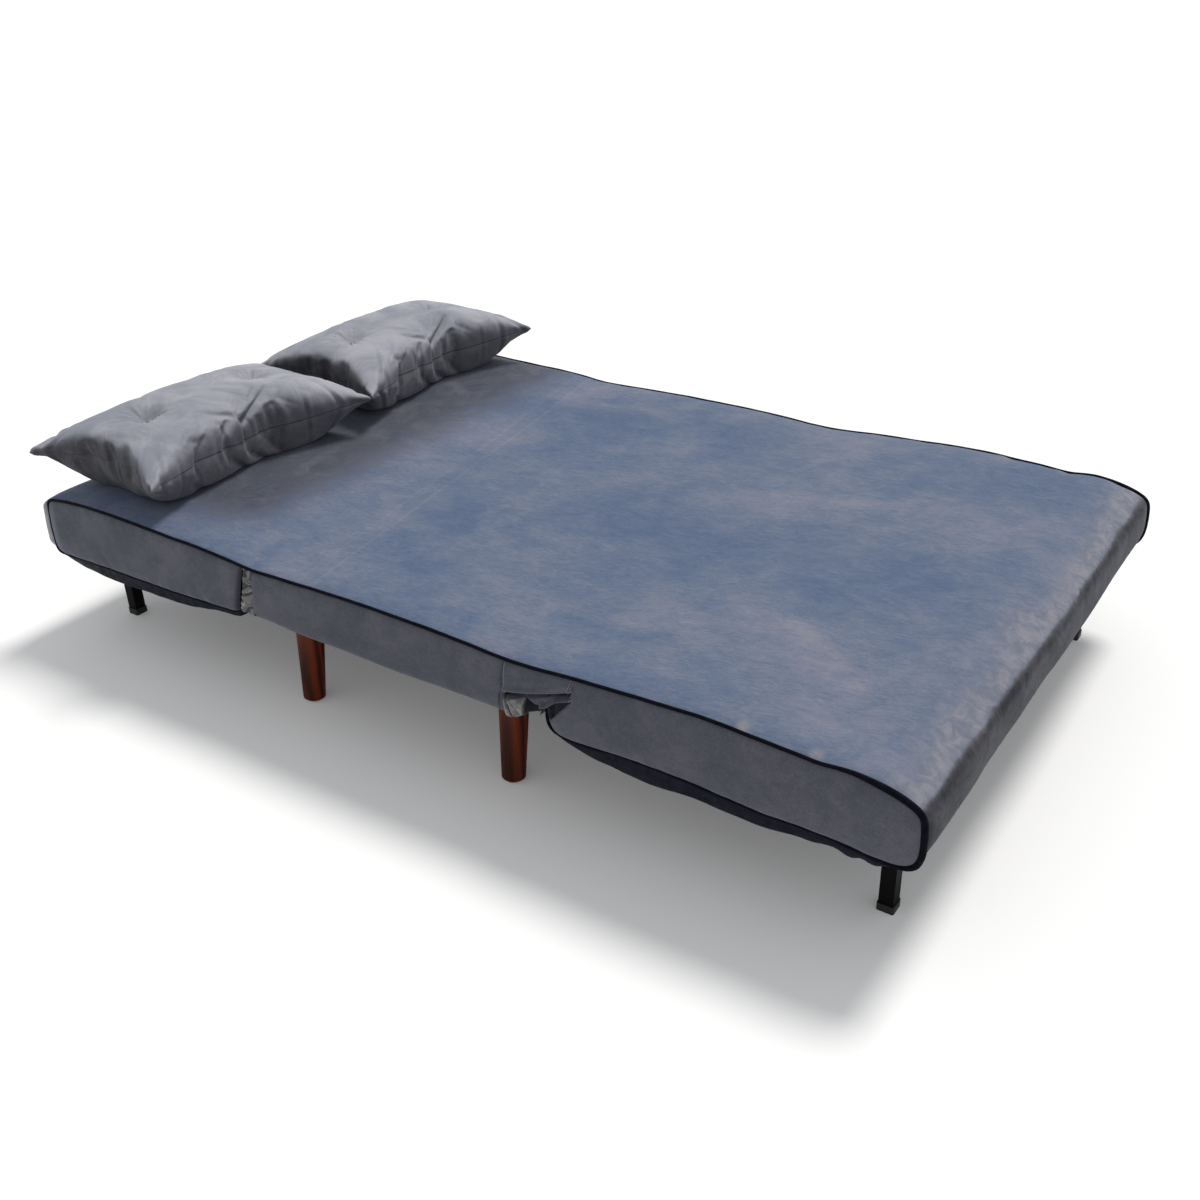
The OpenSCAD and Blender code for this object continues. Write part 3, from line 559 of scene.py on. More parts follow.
@dataclass(frozen=True)
class Finish:
    """What every finish has: a name, a shader and the object's own coordinates."""

    name: str

    @property
    def label(self) -> str:
        """The material's own name."""
        return f"{self.name}_finish"

    def start(self) -> tuple[Tree, bpy.types.Node, Socket]:
        """Makes the material and gives its tree, its shader and its coordinates."""
        material = bpy.data.materials.new(self.label)
        material.use_nodes = True
        tree = Tree(material.node_tree)
        tree.tree.nodes.clear()
        shader = tree.add("BsdfPrincipled")
        tree.add("OutputMaterial", {"Surface": shader.outputs[0]})
        return tree, shader, tree.add("TexCoord").outputs["Object"]

    def raised(
        self, tree: Tree, shader: bpy.types.Node, height: Socket, strength: float, depth: float
    ) -> None:
        """Feeds a height to the shader as bump."""
        bump = tree.add("Bump", {"Height": height, "Strength": strength, "Distance": depth})
        tree.tree.links.new(bump.outputs[0], shader.inputs["Normal"])

    def material(self) -> bpy.types.Material:
        """The finished material, made once."""
        return bpy.data.materials.get(self.label) or self.build()

    def build(self) -> bpy.types.Material:
        """Builds the material."""
        raise NotImplementedError

    def on(self, *objects: bpy.types.Object) -> None:
        """Puts the finish on every slot of the objects."""
        material = self.material()
        for obj in objects:
            if not obj.material_slots:
                obj.data.materials.append(material)
            for slot in obj.material_slots:
                slot.material = material


@dataclass(frozen=True)
class SecondTone:
    """A second tone of velvet, shown where the cloth was marked for it: mostly painted shade and painted
    highlights, also plain tones such as the pillow's seam line and the lighter head end.
    """

    mark: str
    dark: Colour
    light: Colour
    broken: float = 0.5
    crisp: float = 0.3
    patch: float = 22.0
    level: float = 0.5


@dataclass(frozen=True)
class Velvet(Finish):
    """Crushed velvet with brushed patches, streaks and a pale sheen."""

    deep: Colour = (0.066, 0.100, 0.190)
    middle: Colour = (0.099, 0.133, 0.213)
    pale: Colour = (0.140, 0.163, 0.232)
    brushed: Colour = (0.205, 0.207, 0.262)
    spread: float = 1.0
    patch: float = 3.4
    streak: float = 300.0
    turn: float = -0.17
    sheen: float = 0.40
    tint: Colour = (0.74, 0.79, 0.92)
    bump: float = 0.30
    marks: tuple[tuple[float, float, float, float], ...] = ()
    second_tones: tuple[SecondTone, ...] = ()

    def toned_over(self, tree: Tree, where: Socket, colour: Socket) -> Socket:
        """Lays each second tone over the colour, with a broken edge.

        Args:
            tree: The material's node tree.
            where: The texture coordinates.
            colour: The velvet's own colour.

        Returns:
            The new colour.
        """
        for extra in self.second_tones:
            share = tree.add("Attribute", attribute_name=extra.mark).outputs["Fac"]
            mottle = tree.noise(where, extra.patch, 6.0, 0.7, 0.8)
            loose = tree.math("MULTIPLY", tree.math("SUBTRACT", mottle, 0.5), extra.broken * 2.0)
            near = tree.math("MULTIPLY", share, 2.0, clamp=True)
            edge = tree.math("ADD", share, tree.math("MULTIPLY", loose, near))
            cover = tree.span(edge, extra.level - extra.crisp, extra.level + extra.crisp, 0.0, 1.0)
            tone = tree.ramp(mottle, (0.40, extra.dark), (0.62, extra.light))
            colour = tree.mix(cover, colour, tone)
        return colour

    def build(self) -> bpy.types.Material:
        """Builds the material."""
        tree, shader, where = self.start()
        vector = tree.turned(where, turn=(0.0, 0.0, self.turn))
        nap = KIT.use(tree, "nap", Vector=vector, Patch=self.patch, Streak=self.streak)
        mixed = tree.math(
            "ADD", tree.math("MULTIPLY", nap["Patches"], 0.58), tree.math("MULTIPLY", nap["Streaks"], 0.42)
        )
        if self.marks:
            parts = tree.add("SeparateXYZ", {0: where}).outputs
            for middle, slope, width, weight in self.marks:
                along = tree.math("MULTIPLY_ADD", parts[0], -slope, parts[1])
                band = KIT.use(tree, "mark", Value=along, Middle=middle, Width=width)["Band"]
                broken = tree.math("MULTIPLY", band, tree.math("MULTIPLY", nap["Patches"], weight))
                mixed = tree.math("ADD", broken, mixed)
        steps = zip((-0.14, -0.02, 0.07, 0.20), (self.deep, self.middle, self.pale, self.brushed))
        colour = tree.ramp(mixed, *((0.5 + step * self.spread, tone) for step, tone in steps))
        tree.tree.links.new(self.toned_over(tree, where, colour), shader.inputs["Base Color"])
        shader.inputs["Sheen Weight"].default_value = self.sheen
        tree.tree.links.new(tree.span(nap["Streaks"], 0.3, 0.7, 0.92, 0.7), shader.inputs["Roughness"])
        shader.inputs["Sheen Roughness"].default_value = 0.42
        shader.inputs["Sheen Tint"].default_value = (*self.tint, 1.0)
        shader.inputs["Specular IOR Level"].default_value = 0.15
        self.raised(tree, shader, nap["Height"], self.bump, 0.0016)
        return bpy.data.materials[self.label]


@dataclass(frozen=True)
class Cloth(Finish):
    """Plain woven cloth, for the base cloth, the dust cloth, the piping, the thread and the felt."""

    dark: Colour = (0.006, 0.008, 0.016)
    light: Colour = (0.018, 0.022, 0.036)
    threads: float = 2600.0
    rough: float = 0.75
    sheen: float = 0.15
    shine: float = 0.3
    depth: float = 0.0006

    def build(self) -> bpy.types.Material:
        """Builds the material."""
        tree, shader, where = self.start()
        weave = KIT.use(tree, "weave", Vector=where, Threads=self.threads)
        colour = tree.ramp(weave["Yarn"], (0.32, self.dark), (0.68, self.light))
        tree.tree.links.new(colour, shader.inputs["Base Color"])
        tree.tree.links.new(
            tree.span(weave["Yarn"], 0.3, 0.7, self.rough + 0.1, self.rough - 0.1), shader.inputs["Roughness"]
        )
        shader.inputs["Sheen Weight"].default_value = self.sheen
        shader.inputs["Sheen Roughness"].default_value = 0.4
        shader.inputs["Specular IOR Level"].default_value = self.shine
        self.raised(tree, shader, weave["Height"], 0.5, self.depth)
        return bpy.data.materials[self.label]


@dataclass(frozen=True)
class Wood(Finish):
    """Wood with grain along one axis, raw or stained and lacquered."""

    dark: Colour = (0.026, 0.0040, 0.0012)
    light: Colour = (0.165, 0.0240, 0.0042)
    turn: tuple[float, float, float] = (0.0, 0.0, 0.0)
    rings: float = 55.0
    lacquer: float = 0.07
    rough: float = 0.46
    shine: float = 0.18

    def build(self) -> bpy.types.Material:
        """Builds the material."""
        tree, shader, where = self.start()
        vector = tree.turned(where, turn=self.turn)
        grain = KIT.use(tree, "grain", Vector=vector, Rings=self.rings)
        colour = tree.ramp(grain["Rings"], (0.25, self.dark), (0.72, self.light))
        shaded = tuple(0.45 * c for c in self.dark)
        colour = tree.mix(tree.math("MULTIPLY", grain["Pores"], 0.45), colour, (*shaded, 1.0))
        tree.tree.links.new(colour, shader.inputs["Base Color"])
        tree.tree.links.new(
            tree.span(grain["Rings"], 0.2, 0.8, self.rough + 0.12, self.rough), shader.inputs["Roughness"]
        )
        shader.inputs["Specular IOR Level"].default_value = self.shine
        shader.inputs["Coat Weight"].default_value = self.lacquer
        shader.inputs["Coat Roughness"].default_value = 0.18
        self.raised(tree, shader, grain["Rings"], 0.18, 0.0006)
        return bpy.data.materials[self.label]


@dataclass(frozen=True)
class Metal(Finish):
    """Coated or plated steel with fine grit and rubbed places."""

    colour: Colour = (0.012, 0.012, 0.013)
    rubbed: Colour = (0.035, 0.035, 0.038)
    metal: float = 0.0
    rough: float = 0.45
    grit: float = 1400.0
    depth: float = 0.0003
    shine: float = 0.4

    def build(self) -> bpy.types.Material:
        """Builds the material."""
        tree, shader, where = self.start()
        marks = KIT.use(tree, "speckle", Vector=where, Grit=self.grit)
        tree.tree.links.new(
            tree.mix(marks["Rub"], (*self.colour, 1.0), (*self.rubbed, 1.0)), shader.inputs["Base Color"]
        )
        tree.tree.links.new(
            tree.math("MULTIPLY_ADD", marks["Rub"], -0.12, self.rough + 0.06), shader.inputs["Roughness"]
        )
        shader.inputs["Metallic"].default_value = self.metal
        shader.inputs["Specular IOR Level"].default_value = self.shine
        self.raised(tree, shader, marks["Grit"], 0.35, self.depth)
        return bpy.data.materials[self.label]


@dataclass(frozen=True)
class Foam(Finish):
    """Open-cell foam with small pores and faint yellowing."""

    fresh: Colour = (0.62, 0.58, 0.44)
    aged: Colour = (0.50, 0.43, 0.27)

    def build(self) -> bpy.types.Material:
        """Builds the material."""
        tree, shader, where = self.start()
        cells = tree.add("TexVoronoi", {"Vector": where, "Scale": 480.0}).outputs["Distance"]
        tone = tree.noise(where, 6.0, 5.0, 0.6)
        tree.tree.links.new(tree.ramp(tone, (0.3, self.aged), (0.7, self.fresh)), shader.inputs["Base Color"])
        tree.tree.links.new(tree.span(tone, 0.3, 0.7, 0.98, 0.88), shader.inputs["Roughness"])
        self.raised(tree, shader, cells, 0.6, 0.0012)
        return bpy.data.materials[self.label]


QUARTER = math.pi / 2
TOP_VELVET = Velvet(
    "top_velvet",
    deep=(0.084, 0.120, 0.210),
    middle=(0.117, 0.153, 0.233),
    pale=(0.158, 0.183, 0.252),
    brushed=(0.223, 0.227, 0.282),
    spread=0.60,
    sheen=0.14,
    marks=((0.275, 0.172, 0.007, 0.07), (0.312, 0.172, 0.006, 0.05)),
    second_tones=(
        # painted shade on the top in front of the pillows
        SecondTone("pillow_shade", (0.048, 0.050, 0.065), (0.104, 0.108, 0.138), broken=0.7, crisp=0.5, patch=11.0),
        # painted shade on the foot end face and low along the end
        SecondTone(
            "end_face_shade",
            (0.008, 0.008, 0.010),
            (0.046, 0.044, 0.050),
            broken=0.75,
            crisp=0.28,
            patch=17.0,
            level=0.42,
        ),
        # painted sheen along the rounded edge of the foot end, and lighter marks beside the dents
        SecondTone("edge_sheen_and_dent_marks", (0.170, 0.178, 0.220), (0.270, 0.266, 0.300), broken=0.18, crisp=0.50, patch=34.0),
        SecondTone(
            "head_end", (0.290, 0.284, 0.276), (0.410, 0.400, 0.385), broken=0.35, crisp=0.40, patch=9.0
        ),
    ),
)
# painted shade in creases, recesses and seam gaps of the side walls and gussets
CREASE_SHADE = SecondTone("crease", (0.007, 0.008, 0.012), (0.020, 0.021, 0.028), broken=0.2, crisp=0.35, patch=50.0)
# painted highlight on the facets of the foot gusset's bunch
FACET_HIGHLIGHT = SecondTone("facet", (0.150, 0.150, 0.148), (0.300, 0.298, 0.285), broken=0.3, crisp=0.3, patch=60.0)
SIDE_VELVET = Velvet(
    "side_velvet",
    deep=(0.058, 0.062, 0.078),
    middle=(0.083, 0.086, 0.106),
    pale=(0.112, 0.114, 0.135),
    brushed=(0.160, 0.162, 0.188),
    patch=6.0,
    turn=1.2,
    sheen=0.28,
    second_tones=(FACET_HIGHLIGHT, CREASE_SHADE),
)
PILLOW_VELVET = Velvet(
    "pillow_velvet",
    deep=(0.084, 0.085, 0.098),
    middle=(0.122, 0.123, 0.141),
    pale=(0.164, 0.164, 0.183),
    brushed=(0.222, 0.221, 0.243),
    patch=8.0,
    turn=0.3,
    sheen=0.16,
    tint=(0.86, 0.87, 0.95),
    second_tones=(
        # painted shade on the left-facing side and painted highlight on the upward-facing top
        SecondTone("shaded", (0.040, 0.040, 0.047), (0.090, 0.090, 0.102), broken=0.35, crisp=0.55, patch=16.0),
        SecondTone("crown", (0.270, 0.280, 0.330), (0.400, 0.400, 0.440), broken=0.30, crisp=0.60, patch=7.0),
        SecondTone("seam", (0.038, 0.038, 0.045), (0.066, 0.066, 0.075), broken=0.05, crisp=0.10, level=0.84),
    ),
)
# a lighter grey than the side velvet, partly the strip's own tone and partly painted highlight for the light
# its gathers catch
GUSSET_VELVET = Velvet(
    "gusset_velvet",
    deep=(0.120, 0.120, 0.124),
    middle=(0.175, 0.174, 0.176),
    pale=(0.235, 0.232, 0.228),
    brushed=(0.300, 0.295, 0.285),
    patch=30.0,
    turn=1.5,
    sheen=0.3,
    second_tones=(
        # painted highlight on the crests of the gathers
        SecondTone("facet", (0.290, 0.285, 0.275), (0.460, 0.450, 0.430), broken=0.2, crisp=0.35, patch=60.0),
        CREASE_SHADE,
    ),
)
PIPING_CLOTH = Cloth(
    "piping_cloth",
    dark=(0.0012, 0.0015, 0.0040),
    light=(0.0040, 0.0048, 0.0100),
    rough=0.7,
    sheen=0.0,
    shine=0.05,
)
BASE_CLOTH = Cloth(
    "base_cloth",
    dark=(0.0030, 0.0036, 0.0085),
    light=(0.0095, 0.0115, 0.0220),
    rough=0.62,
    sheen=0.0,
    shine=0.12,
)
DUST_CLOTH = Cloth("dust_cloth", dark=(0.010, 0.010, 0.011), light=(0.030, 0.030, 0.032), threads=1500.0)
THREAD = Cloth(
    "sewing_thread", dark=(0.24, 0.25, 0.27), light=(0.38, 0.38, 0.40), threads=5200.0, depth=0.0002
)
LEG_WOOD = Wood("stained_leg")
SLAT_WOOD = Wood(
    "beech_slat",
    dark=(0.42, 0.25, 0.12),
    light=(0.66, 0.46, 0.27),
    turn=(0.0, QUARTER, 0.0),
    rings=26.0,
    lacquer=0.15,
    rough=0.5,
)
BLACK_STEEL = Metal(
    "powder_steel", colour=(0.0024, 0.0022, 0.0023), rubbed=(0.0055, 0.0050, 0.0052), rough=0.5, shine=0.07
)
HINGE_STEEL = Metal(
    "hinge_steel", colour=(0.030, 0.030, 0.032), rubbed=(0.11, 0.11, 0.115), metal=0.6, rough=0.42
)
ZINC = Metal("zinc", colour=(0.50, 0.50, 0.49), rubbed=(0.66, 0.66, 0.65), metal=1.0, rough=0.34, grit=2200.0)
BLACK_PLASTIC = Metal("black_plastic", colour=(0.011, 0.011, 0.012), rubbed=(0.022, 0.022, 0.024), rough=0.5)
GLIDE_FELT = Cloth("glide_felt", dark=(0.34, 0.22, 0.13), light=(0.55, 0.40, 0.27), threads=2000.0, rough=0.9)
FOAM = Foam("seat_foam_block")


# ---------------------------------------------------------------- the covers


HEAD_RUN = Run(
    (
        (0.000, 0.3116), (0.040, 0.3115), (0.085, 0.3116), (0.130, 0.3109), (0.180, 0.3098),
        (0.227, 0.3082), (0.278, 0.3070), (0.318, 0.3052), (0.350, 0.3066), (0.397, 0.3108),
        (0.459, 0.3150), (0.510, 0.3158), (0.558, 0.3161), (0.610, 0.3173), (0.662, 0.3188),
        (0.720, 0.3200), (0.770, 0.3206), (0.825, 0.3195), (0.874, 0.3168), (0.912, 0.3122),
        (0.934, 0.3082), (0.9455, 0.3020), (0.9490, 0.2900), (0.9505, 0.2700), (0.9545, 0.2400),
        (0.9558, 0.2080), (0.9550, 0.1925), (0.9480, 0.1845), (0.930, 0.1832), (0.874, 0.1856),
        (0.804, 0.1870), (0.703, 0.1881), (0.605, 0.1900), (0.542, 0.1908), (0.465, 0.1945),
        (0.425, 0.1970), (0.398, 0.1988), (0.387, 0.2012), (0.381, 0.2070), (0.3785, 0.2220),
    )
)
FOOT_RUN = Run(
    (
        (0.000, 0.3116), (-0.040, 0.3115), (-0.075, 0.3109), (-0.120, 0.3102), (-0.170, 0.3076),
        (-0.210, 0.3056), (-0.250, 0.3036), (-0.290, 0.3028), (-0.340, 0.3058), (-0.396, 0.3104),
        (-0.450, 0.3128), (-0.502, 0.3147), (-0.562, 0.3184), (-0.620, 0.3198), (-0.676, 0.3193),
        (-0.709, 0.3168), (-0.757, 0.3152), (-0.800, 0.3120), (-0.826, 0.3105), (-0.850, 0.3138),
        (-0.872, 0.3150), (-0.890, 0.3131), (-0.908, 0.3101), (-0.926, 0.3062), (-0.944, 0.3010),
        (-0.9600, 0.2950), (-0.9745, 0.2872), (-0.9818, 0.2780), (-0.9842, 0.2640), (-0.9852, 0.2450),
        (-0.9852, 0.2260), (-0.9830, 0.2080), (-0.9770, 0.1935), (-0.9660, 0.1858), (-0.950, 0.1832),
        (-0.922, 0.1832), (-0.895, 0.1850), (-0.843, 0.1892), (-0.790, 0.1889), (-0.7355, 0.1866),
        (-0.679, 0.1900), (-0.621, 0.1937), (-0.561, 0.1955), (-0.512, 0.1957), (-0.468, 0.1942),
        (-0.423, 0.1899), (-0.387, 0.1885), (-0.363, 0.1925), (-0.351, 0.2020), (-0.3465, 0.2130),
        (-0.3460, 0.2330),
    )
)
RUNS = {Panel.HEAD: HEAD_RUN, Panel.FOOT: FOOT_RUN}
SAGS = {
    Panel.HEAD: (
        (0.350, 0.0), (0.378, 0.008), (0.400, 0.018), (0.417, 0.020), (0.468, 0.021), (0.520, 0.026),
        (0.586, 0.0355), (0.645, 0.0375), (0.710, 0.036), (0.766, 0.0355), (0.823, 0.0335),
        (0.880, 0.027), (0.920, 0.017), (0.945, 0.007), (0.952, 0.0),
    ),
    Panel.FOOT: (
        (0.345, 0.0), (0.370, 0.011), (0.400, 0.018), (0.435, 0.0285), (0.487, 0.041), (0.537, 0.045),
        (0.585, 0.0435), (0.621, 0.044), (0.668, 0.0425), (0.714, 0.0405), (0.753, 0.038),
        (0.791, 0.033), (0.823, 0.029), (0.852, 0.023), (0.886, 0.0215), (0.916, 0.017), (0.955, 0.010),
        (0.985, 0.0),
    ),
}
BODY_OF = {Panel.HEAD: "back", Panel.FOOT: "foot"}
PIVOT_Y = {Panel.HEAD: 0.337, Panel.FOOT: -0.337}
HINGE_CORNER = {Panel.HEAD: 0.3530, Panel.FOOT: 0.3468}
HINGE_LEAN = {Panel.HEAD: 0.0300, Panel.FOOT: 0.0}
HINGE_TOP_Z = 0.303
HINGE_SEAM_HEIGHT = 0.103


def down_seam(z: Array) -> Array:
    """How far down a hinge seam each height is, from 0 to 1."""
    return np.clip((HINGE_TOP_Z - z) / HINGE_SEAM_HEIGHT, 0.0, 1.0)


@dataclass
class TopSheet:
    """The velvet sheet that covers the sleeping top and wraps over one end."""

    panel: Panel
    half_width: float = 0.5955
    crown: float = 0.0072
    rise: float = 0.016
    columns: int = 190
    rows: int = 190
    end_swell: float = 0.012
    end_rise: float = 0.012
    end_spread: float = 0.0
    end_flat: float = 0.0
    groove: float = 0.0012
    groove_width: float = 0.017
    dents: tuple[tuple[float, float, float], ...] = ()

    def under_end(self) -> float:
        """The walked length where the sheet tucks under the end."""
        run = RUNS[self.panel]
        turn = run.turn_at()
        path, walked = run.path[turn:], run.walked[turn:]
        tucked = abs(path[0, 0]) - np.abs(path[:, 0]) > 0.022
        return float(walked[int(np.argmax(tucked))])

    def place(self, u: Array, v: Array) -> tuple[Array, Array]:
        """Lays each point of the sheet on the bed."""
        run = RUNS[self.panel]
        length = v * self.under_end()
        # finer squares towards the two piped edges
        x = self.half_width * np.sin((u - 0.5) * math.pi * 0.86) / math.sin(math.pi * 0.43)
        base = run.at(length)
        out = run.outward(length, float(self.panel.value))
        y = base[:, 0]
        edge = self.half_width - np.abs(x)
        lift = self.crown * (1.0 - np.exp(-edge / self.rise))
        on_top = np.clip(out[:, 1], 0.0, 1.0) ** 0.6
        end = np.clip(out[:, 0] * self.panel.value, 0.0, 1.0)
        fade = smooth((base[:, 1] - 0.183) / 0.024) * smooth((0.311 - base[:, 1]) / 0.028)
        lift += (self.end_swell - self.crown) * end**0.8 * (1.0 - np.exp(-edge / self.end_rise)) * fade
        lift *= 1.0 - self.end_flat * smooth((-out[:, 1] - 0.02) / 0.35)
        inner = smooth(edge / 0.06)
        lift -= self.groove * bell(y, PIVOT_Y[self.panel], self.groove_width) * smooth((edge - 0.045) / 0.06)
        along = length * self.panel.value
        lift += inner * 0.0016 * ripple(x, along, 11, 0.34)
        lift += inner * 0.0005 * ripple(x * 0.45, along, 12, 0.05)
        lift += (1.0 - inner) * smooth(edge / 0.006) * 0.0010 * ripple(x * 0.3, along, 13, 0.045, 2)
        lift += (1.0 - on_top) * inner * 0.0013 * ripple(x, base[:, 1], 14, 0.20, 3)
        for where, depth, reach in self.dents:
            near = bell(edge, 0.4 * reach, reach) * smooth(edge / 0.004)
            lift -= depth * near * bell(y, where, 0.011)
            lift += 0.5 * depth * near * bell(y, where + 0.018, 0.012)
        # the seam draws the sheet in between the ends
        draw = 0.0012 * ripple(along, 0 * along, 15, 0.16, 2) * (1.0 - smooth(edge / 0.05))
        draw += self.end_spread * bell(edge, 0.007, 0.009) * smooth((end - 0.5) / 0.4) * fade
        placed = np.column_stack([x + np.sign(x) * draw, y + out[:, 0] * lift, base[:, 1] + out[:, 1] * lift])
        return placed, np.column_stack([x, along])

    def make(self) -> bpy.types.Object:
        """Sews the sheet."""
        name = f"top_sheet_{self.panel.name.lower()}"
        obj = woven(name, self.columns, self.rows, self.place, flip=self.panel is Panel.FOOT)
        TOP_VELVET.on(obj)
        self.paint_tones(obj)
        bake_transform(obj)
        return obj

    def paint_tones(self, obj: bpy.types.Object) -> None:
        """Paints the second tones: painted shade and a painted sheen on the foot end, painted shade in front
        of the pillows, and a lighter grey on the head end.
        """
        co = points(obj)
        end = normals(obj)[:, 1] * self.panel.value
        edge = self.half_width - np.abs(co[:, 0])
        if self.panel is Panel.FOOT:
            # painted shade on the foot end face and low along the end, with a ragged edge
            low = smooth((0.262 - co[:, 2]) / 0.03) * smooth((np.abs(co[:, 1]) - 0.93) / 0.02)
            ragged = 0.09 * ripple(co[:, 0], co[:, 1], 77, 0.17, 5)
            paint(obj, "end_face_shade", np.maximum(smooth((end + ragged - 0.50) / 0.30), low))
            edge_sheen_and_dent_marks = np.zeros(len(co))
            for where, depth, reach in self.dents:
                rubbed = bell(co[:, 1], where + 0.006, 0.013) * bell(edge, 0.006, 0.8 * reach)
                edge_sheen_and_dent_marks += depth / 0.0026 * rubbed
            # painted sheen in a band along the rounded edge of the foot end
            edge_sheen_and_dent_marks += 1.10 * bell(end + ragged, 0.47, 0.26)
            paint(obj, "edge_sheen_and_dent_marks", 0.72 * edge_sheen_and_dent_marks)
        else:
            # painted shade on the head sheet in front of the pillows, weaker towards the left edge
            inward = 0.30 + 0.70 * smooth((co[:, 0] + 0.56) / 0.16)
            near_pillows = smooth((co[:, 1] - 0.34) / 0.21) * (1.0 - smooth((end - 0.3) / 0.3))
            paint(obj, "pillow_shade", 0.88 * inward * near_pillows)
            swollen = smooth((co[:, 1] - 0.9535) / 0.006) * smooth((0.309 - co[:, 2]) / 0.010)
            paint(obj, "head_end", np.maximum(smooth((end - 0.40) / 0.3), swollen))


@dataclass
class SideBoxing:
    """The boxed side wall of a head or foot panel."""

    panel: Panel
    side: Side
    plane: float = 0.5938
    bulge: float = 0.0135
    far_bulge: float = 0.020
    columns: int = 240
    rows: int = 44
    tucked: float = 0.011
    puckers: tuple[tuple[float, float, float], ...] = ()

    @property
    def hinge(self) -> float:
        """How far from mid-bed the wall's upper hinge corner is."""
        return HINGE_CORNER[self.panel]

    @property
    def lean(self) -> float:
        """How much further its lower hinge corner is."""
        return HINGE_LEAN[self.panel]

    def behind(self, y: Array, z: Array) -> Array:
        """How far each point lies behind the folded gusset, from 0 to 1."""
        line = np.interp(z, (0.205, 0.220, 0.270, 0.320), (-0.340, -0.3600, -0.4030, -0.4055))
        return smooth((y - line) / 0.004) * smooth((z - 0.212) / 0.010)

    def place(self, u: Array, v: Array) -> tuple[Array, Array]:
        """Lays each point of the wall between its two piped edges."""
        run = RUNS[self.panel]
        path, walked, turn = run.path, run.walked, run.turn_at()
        sign = self.panel.value
        hinge = self.hinge
        upper = path[: turn + 1]
        first = float(np.interp(hinge, np.abs(upper[:, 0]), walked[: turn + 1]))
        last = float(np.interp(abs(path[turn, 0]) - 0.0022, np.abs(upper[:, 0]), walked[: turn + 1]))
        length = first + (last - first) * u
        top = run.at(length)
        lower = path[turn:][::-1]
        leaning = self.lean * np.exp(-(np.abs(top[:, 0]) - hinge) / 0.06)
        low = np.interp(np.abs(top[:, 0]) + leaning, np.abs(lower[:, 0]), lower[:, 1])
        height = top[:, 1] - low
        z = low + height * v
        y = top[:, 0] + sign * leaning * (1.0 - v)
        ends = np.minimum((np.abs(top[:, 0]) - hinge) / 0.02, (abs(path[turn, 0]) - np.abs(y)) / 0.035)
        square, proud = (4, self.bulge) if self.side is Side.LEFT else (8, self.far_bulge)
        across = boxy(v, square) * smooth(ends * 0.5 + 0.35)
        seed = 40 + 3 * self.panel.value + self.side.value
        x = self.plane + proud * across
        x += across * 0.0022 * ripple(y, z, seed, 0.16, 3)
        seam = np.minimum(v, 1.0 - v) * height
        near = bell(seam, 0.008, 0.012) * smooth(seam / 0.004)
        x += near * 0.0012 * ripple(y, 0 * y, seed + 1, 0.035, 2)
        if self.panel is Panel.FOOT:
            x -= self.tucked * self.behind(y, z) * smooth((np.abs(y) - hinge - 0.004) / 0.008)
        for where, lean, depth in self.puckers:
            line = y - where - lean * (z - low)
            reach = np.exp(-np.clip(z - low, 0, None) / 0.034) * smooth((z - low) / 0.014)
            x -= depth * bell(line, 0.0, 0.010) * reach
            x += 0.4 * depth * bell(line, 0.020, 0.012) * reach
        return np.column_stack([x * self.side.value, y, z]), np.column_stack([y, z])

    def make(self) -> bpy.types.Object:
        """Sews the wall."""
        name = f"side_boxing_{self.panel.name.lower()}_{self.side.name.lower()}"
        flip = (self.side.value * self.panel.value) > 0
        obj = woven(name, self.columns, self.rows, self.place, flip=not flip)
        SIDE_VELVET.on(obj)
        co = points(obj)
        if self.panel is Panel.FOOT:
            # painted shade in the pocket behind the folded gusset
            paint(obj, "crease", self.behind(co[:, 1], co[:, 2]))
        else:
            # painted shade along the wall's edge at the hinge
            edge = co[:, 1] - self.hinge - self.lean * down_seam(co[:, 2])
            paint(obj, "crease", 0.66 * smooth((0.019 - edge) / 0.017))
        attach(obj, BODY_OF[self.panel])
        return obj


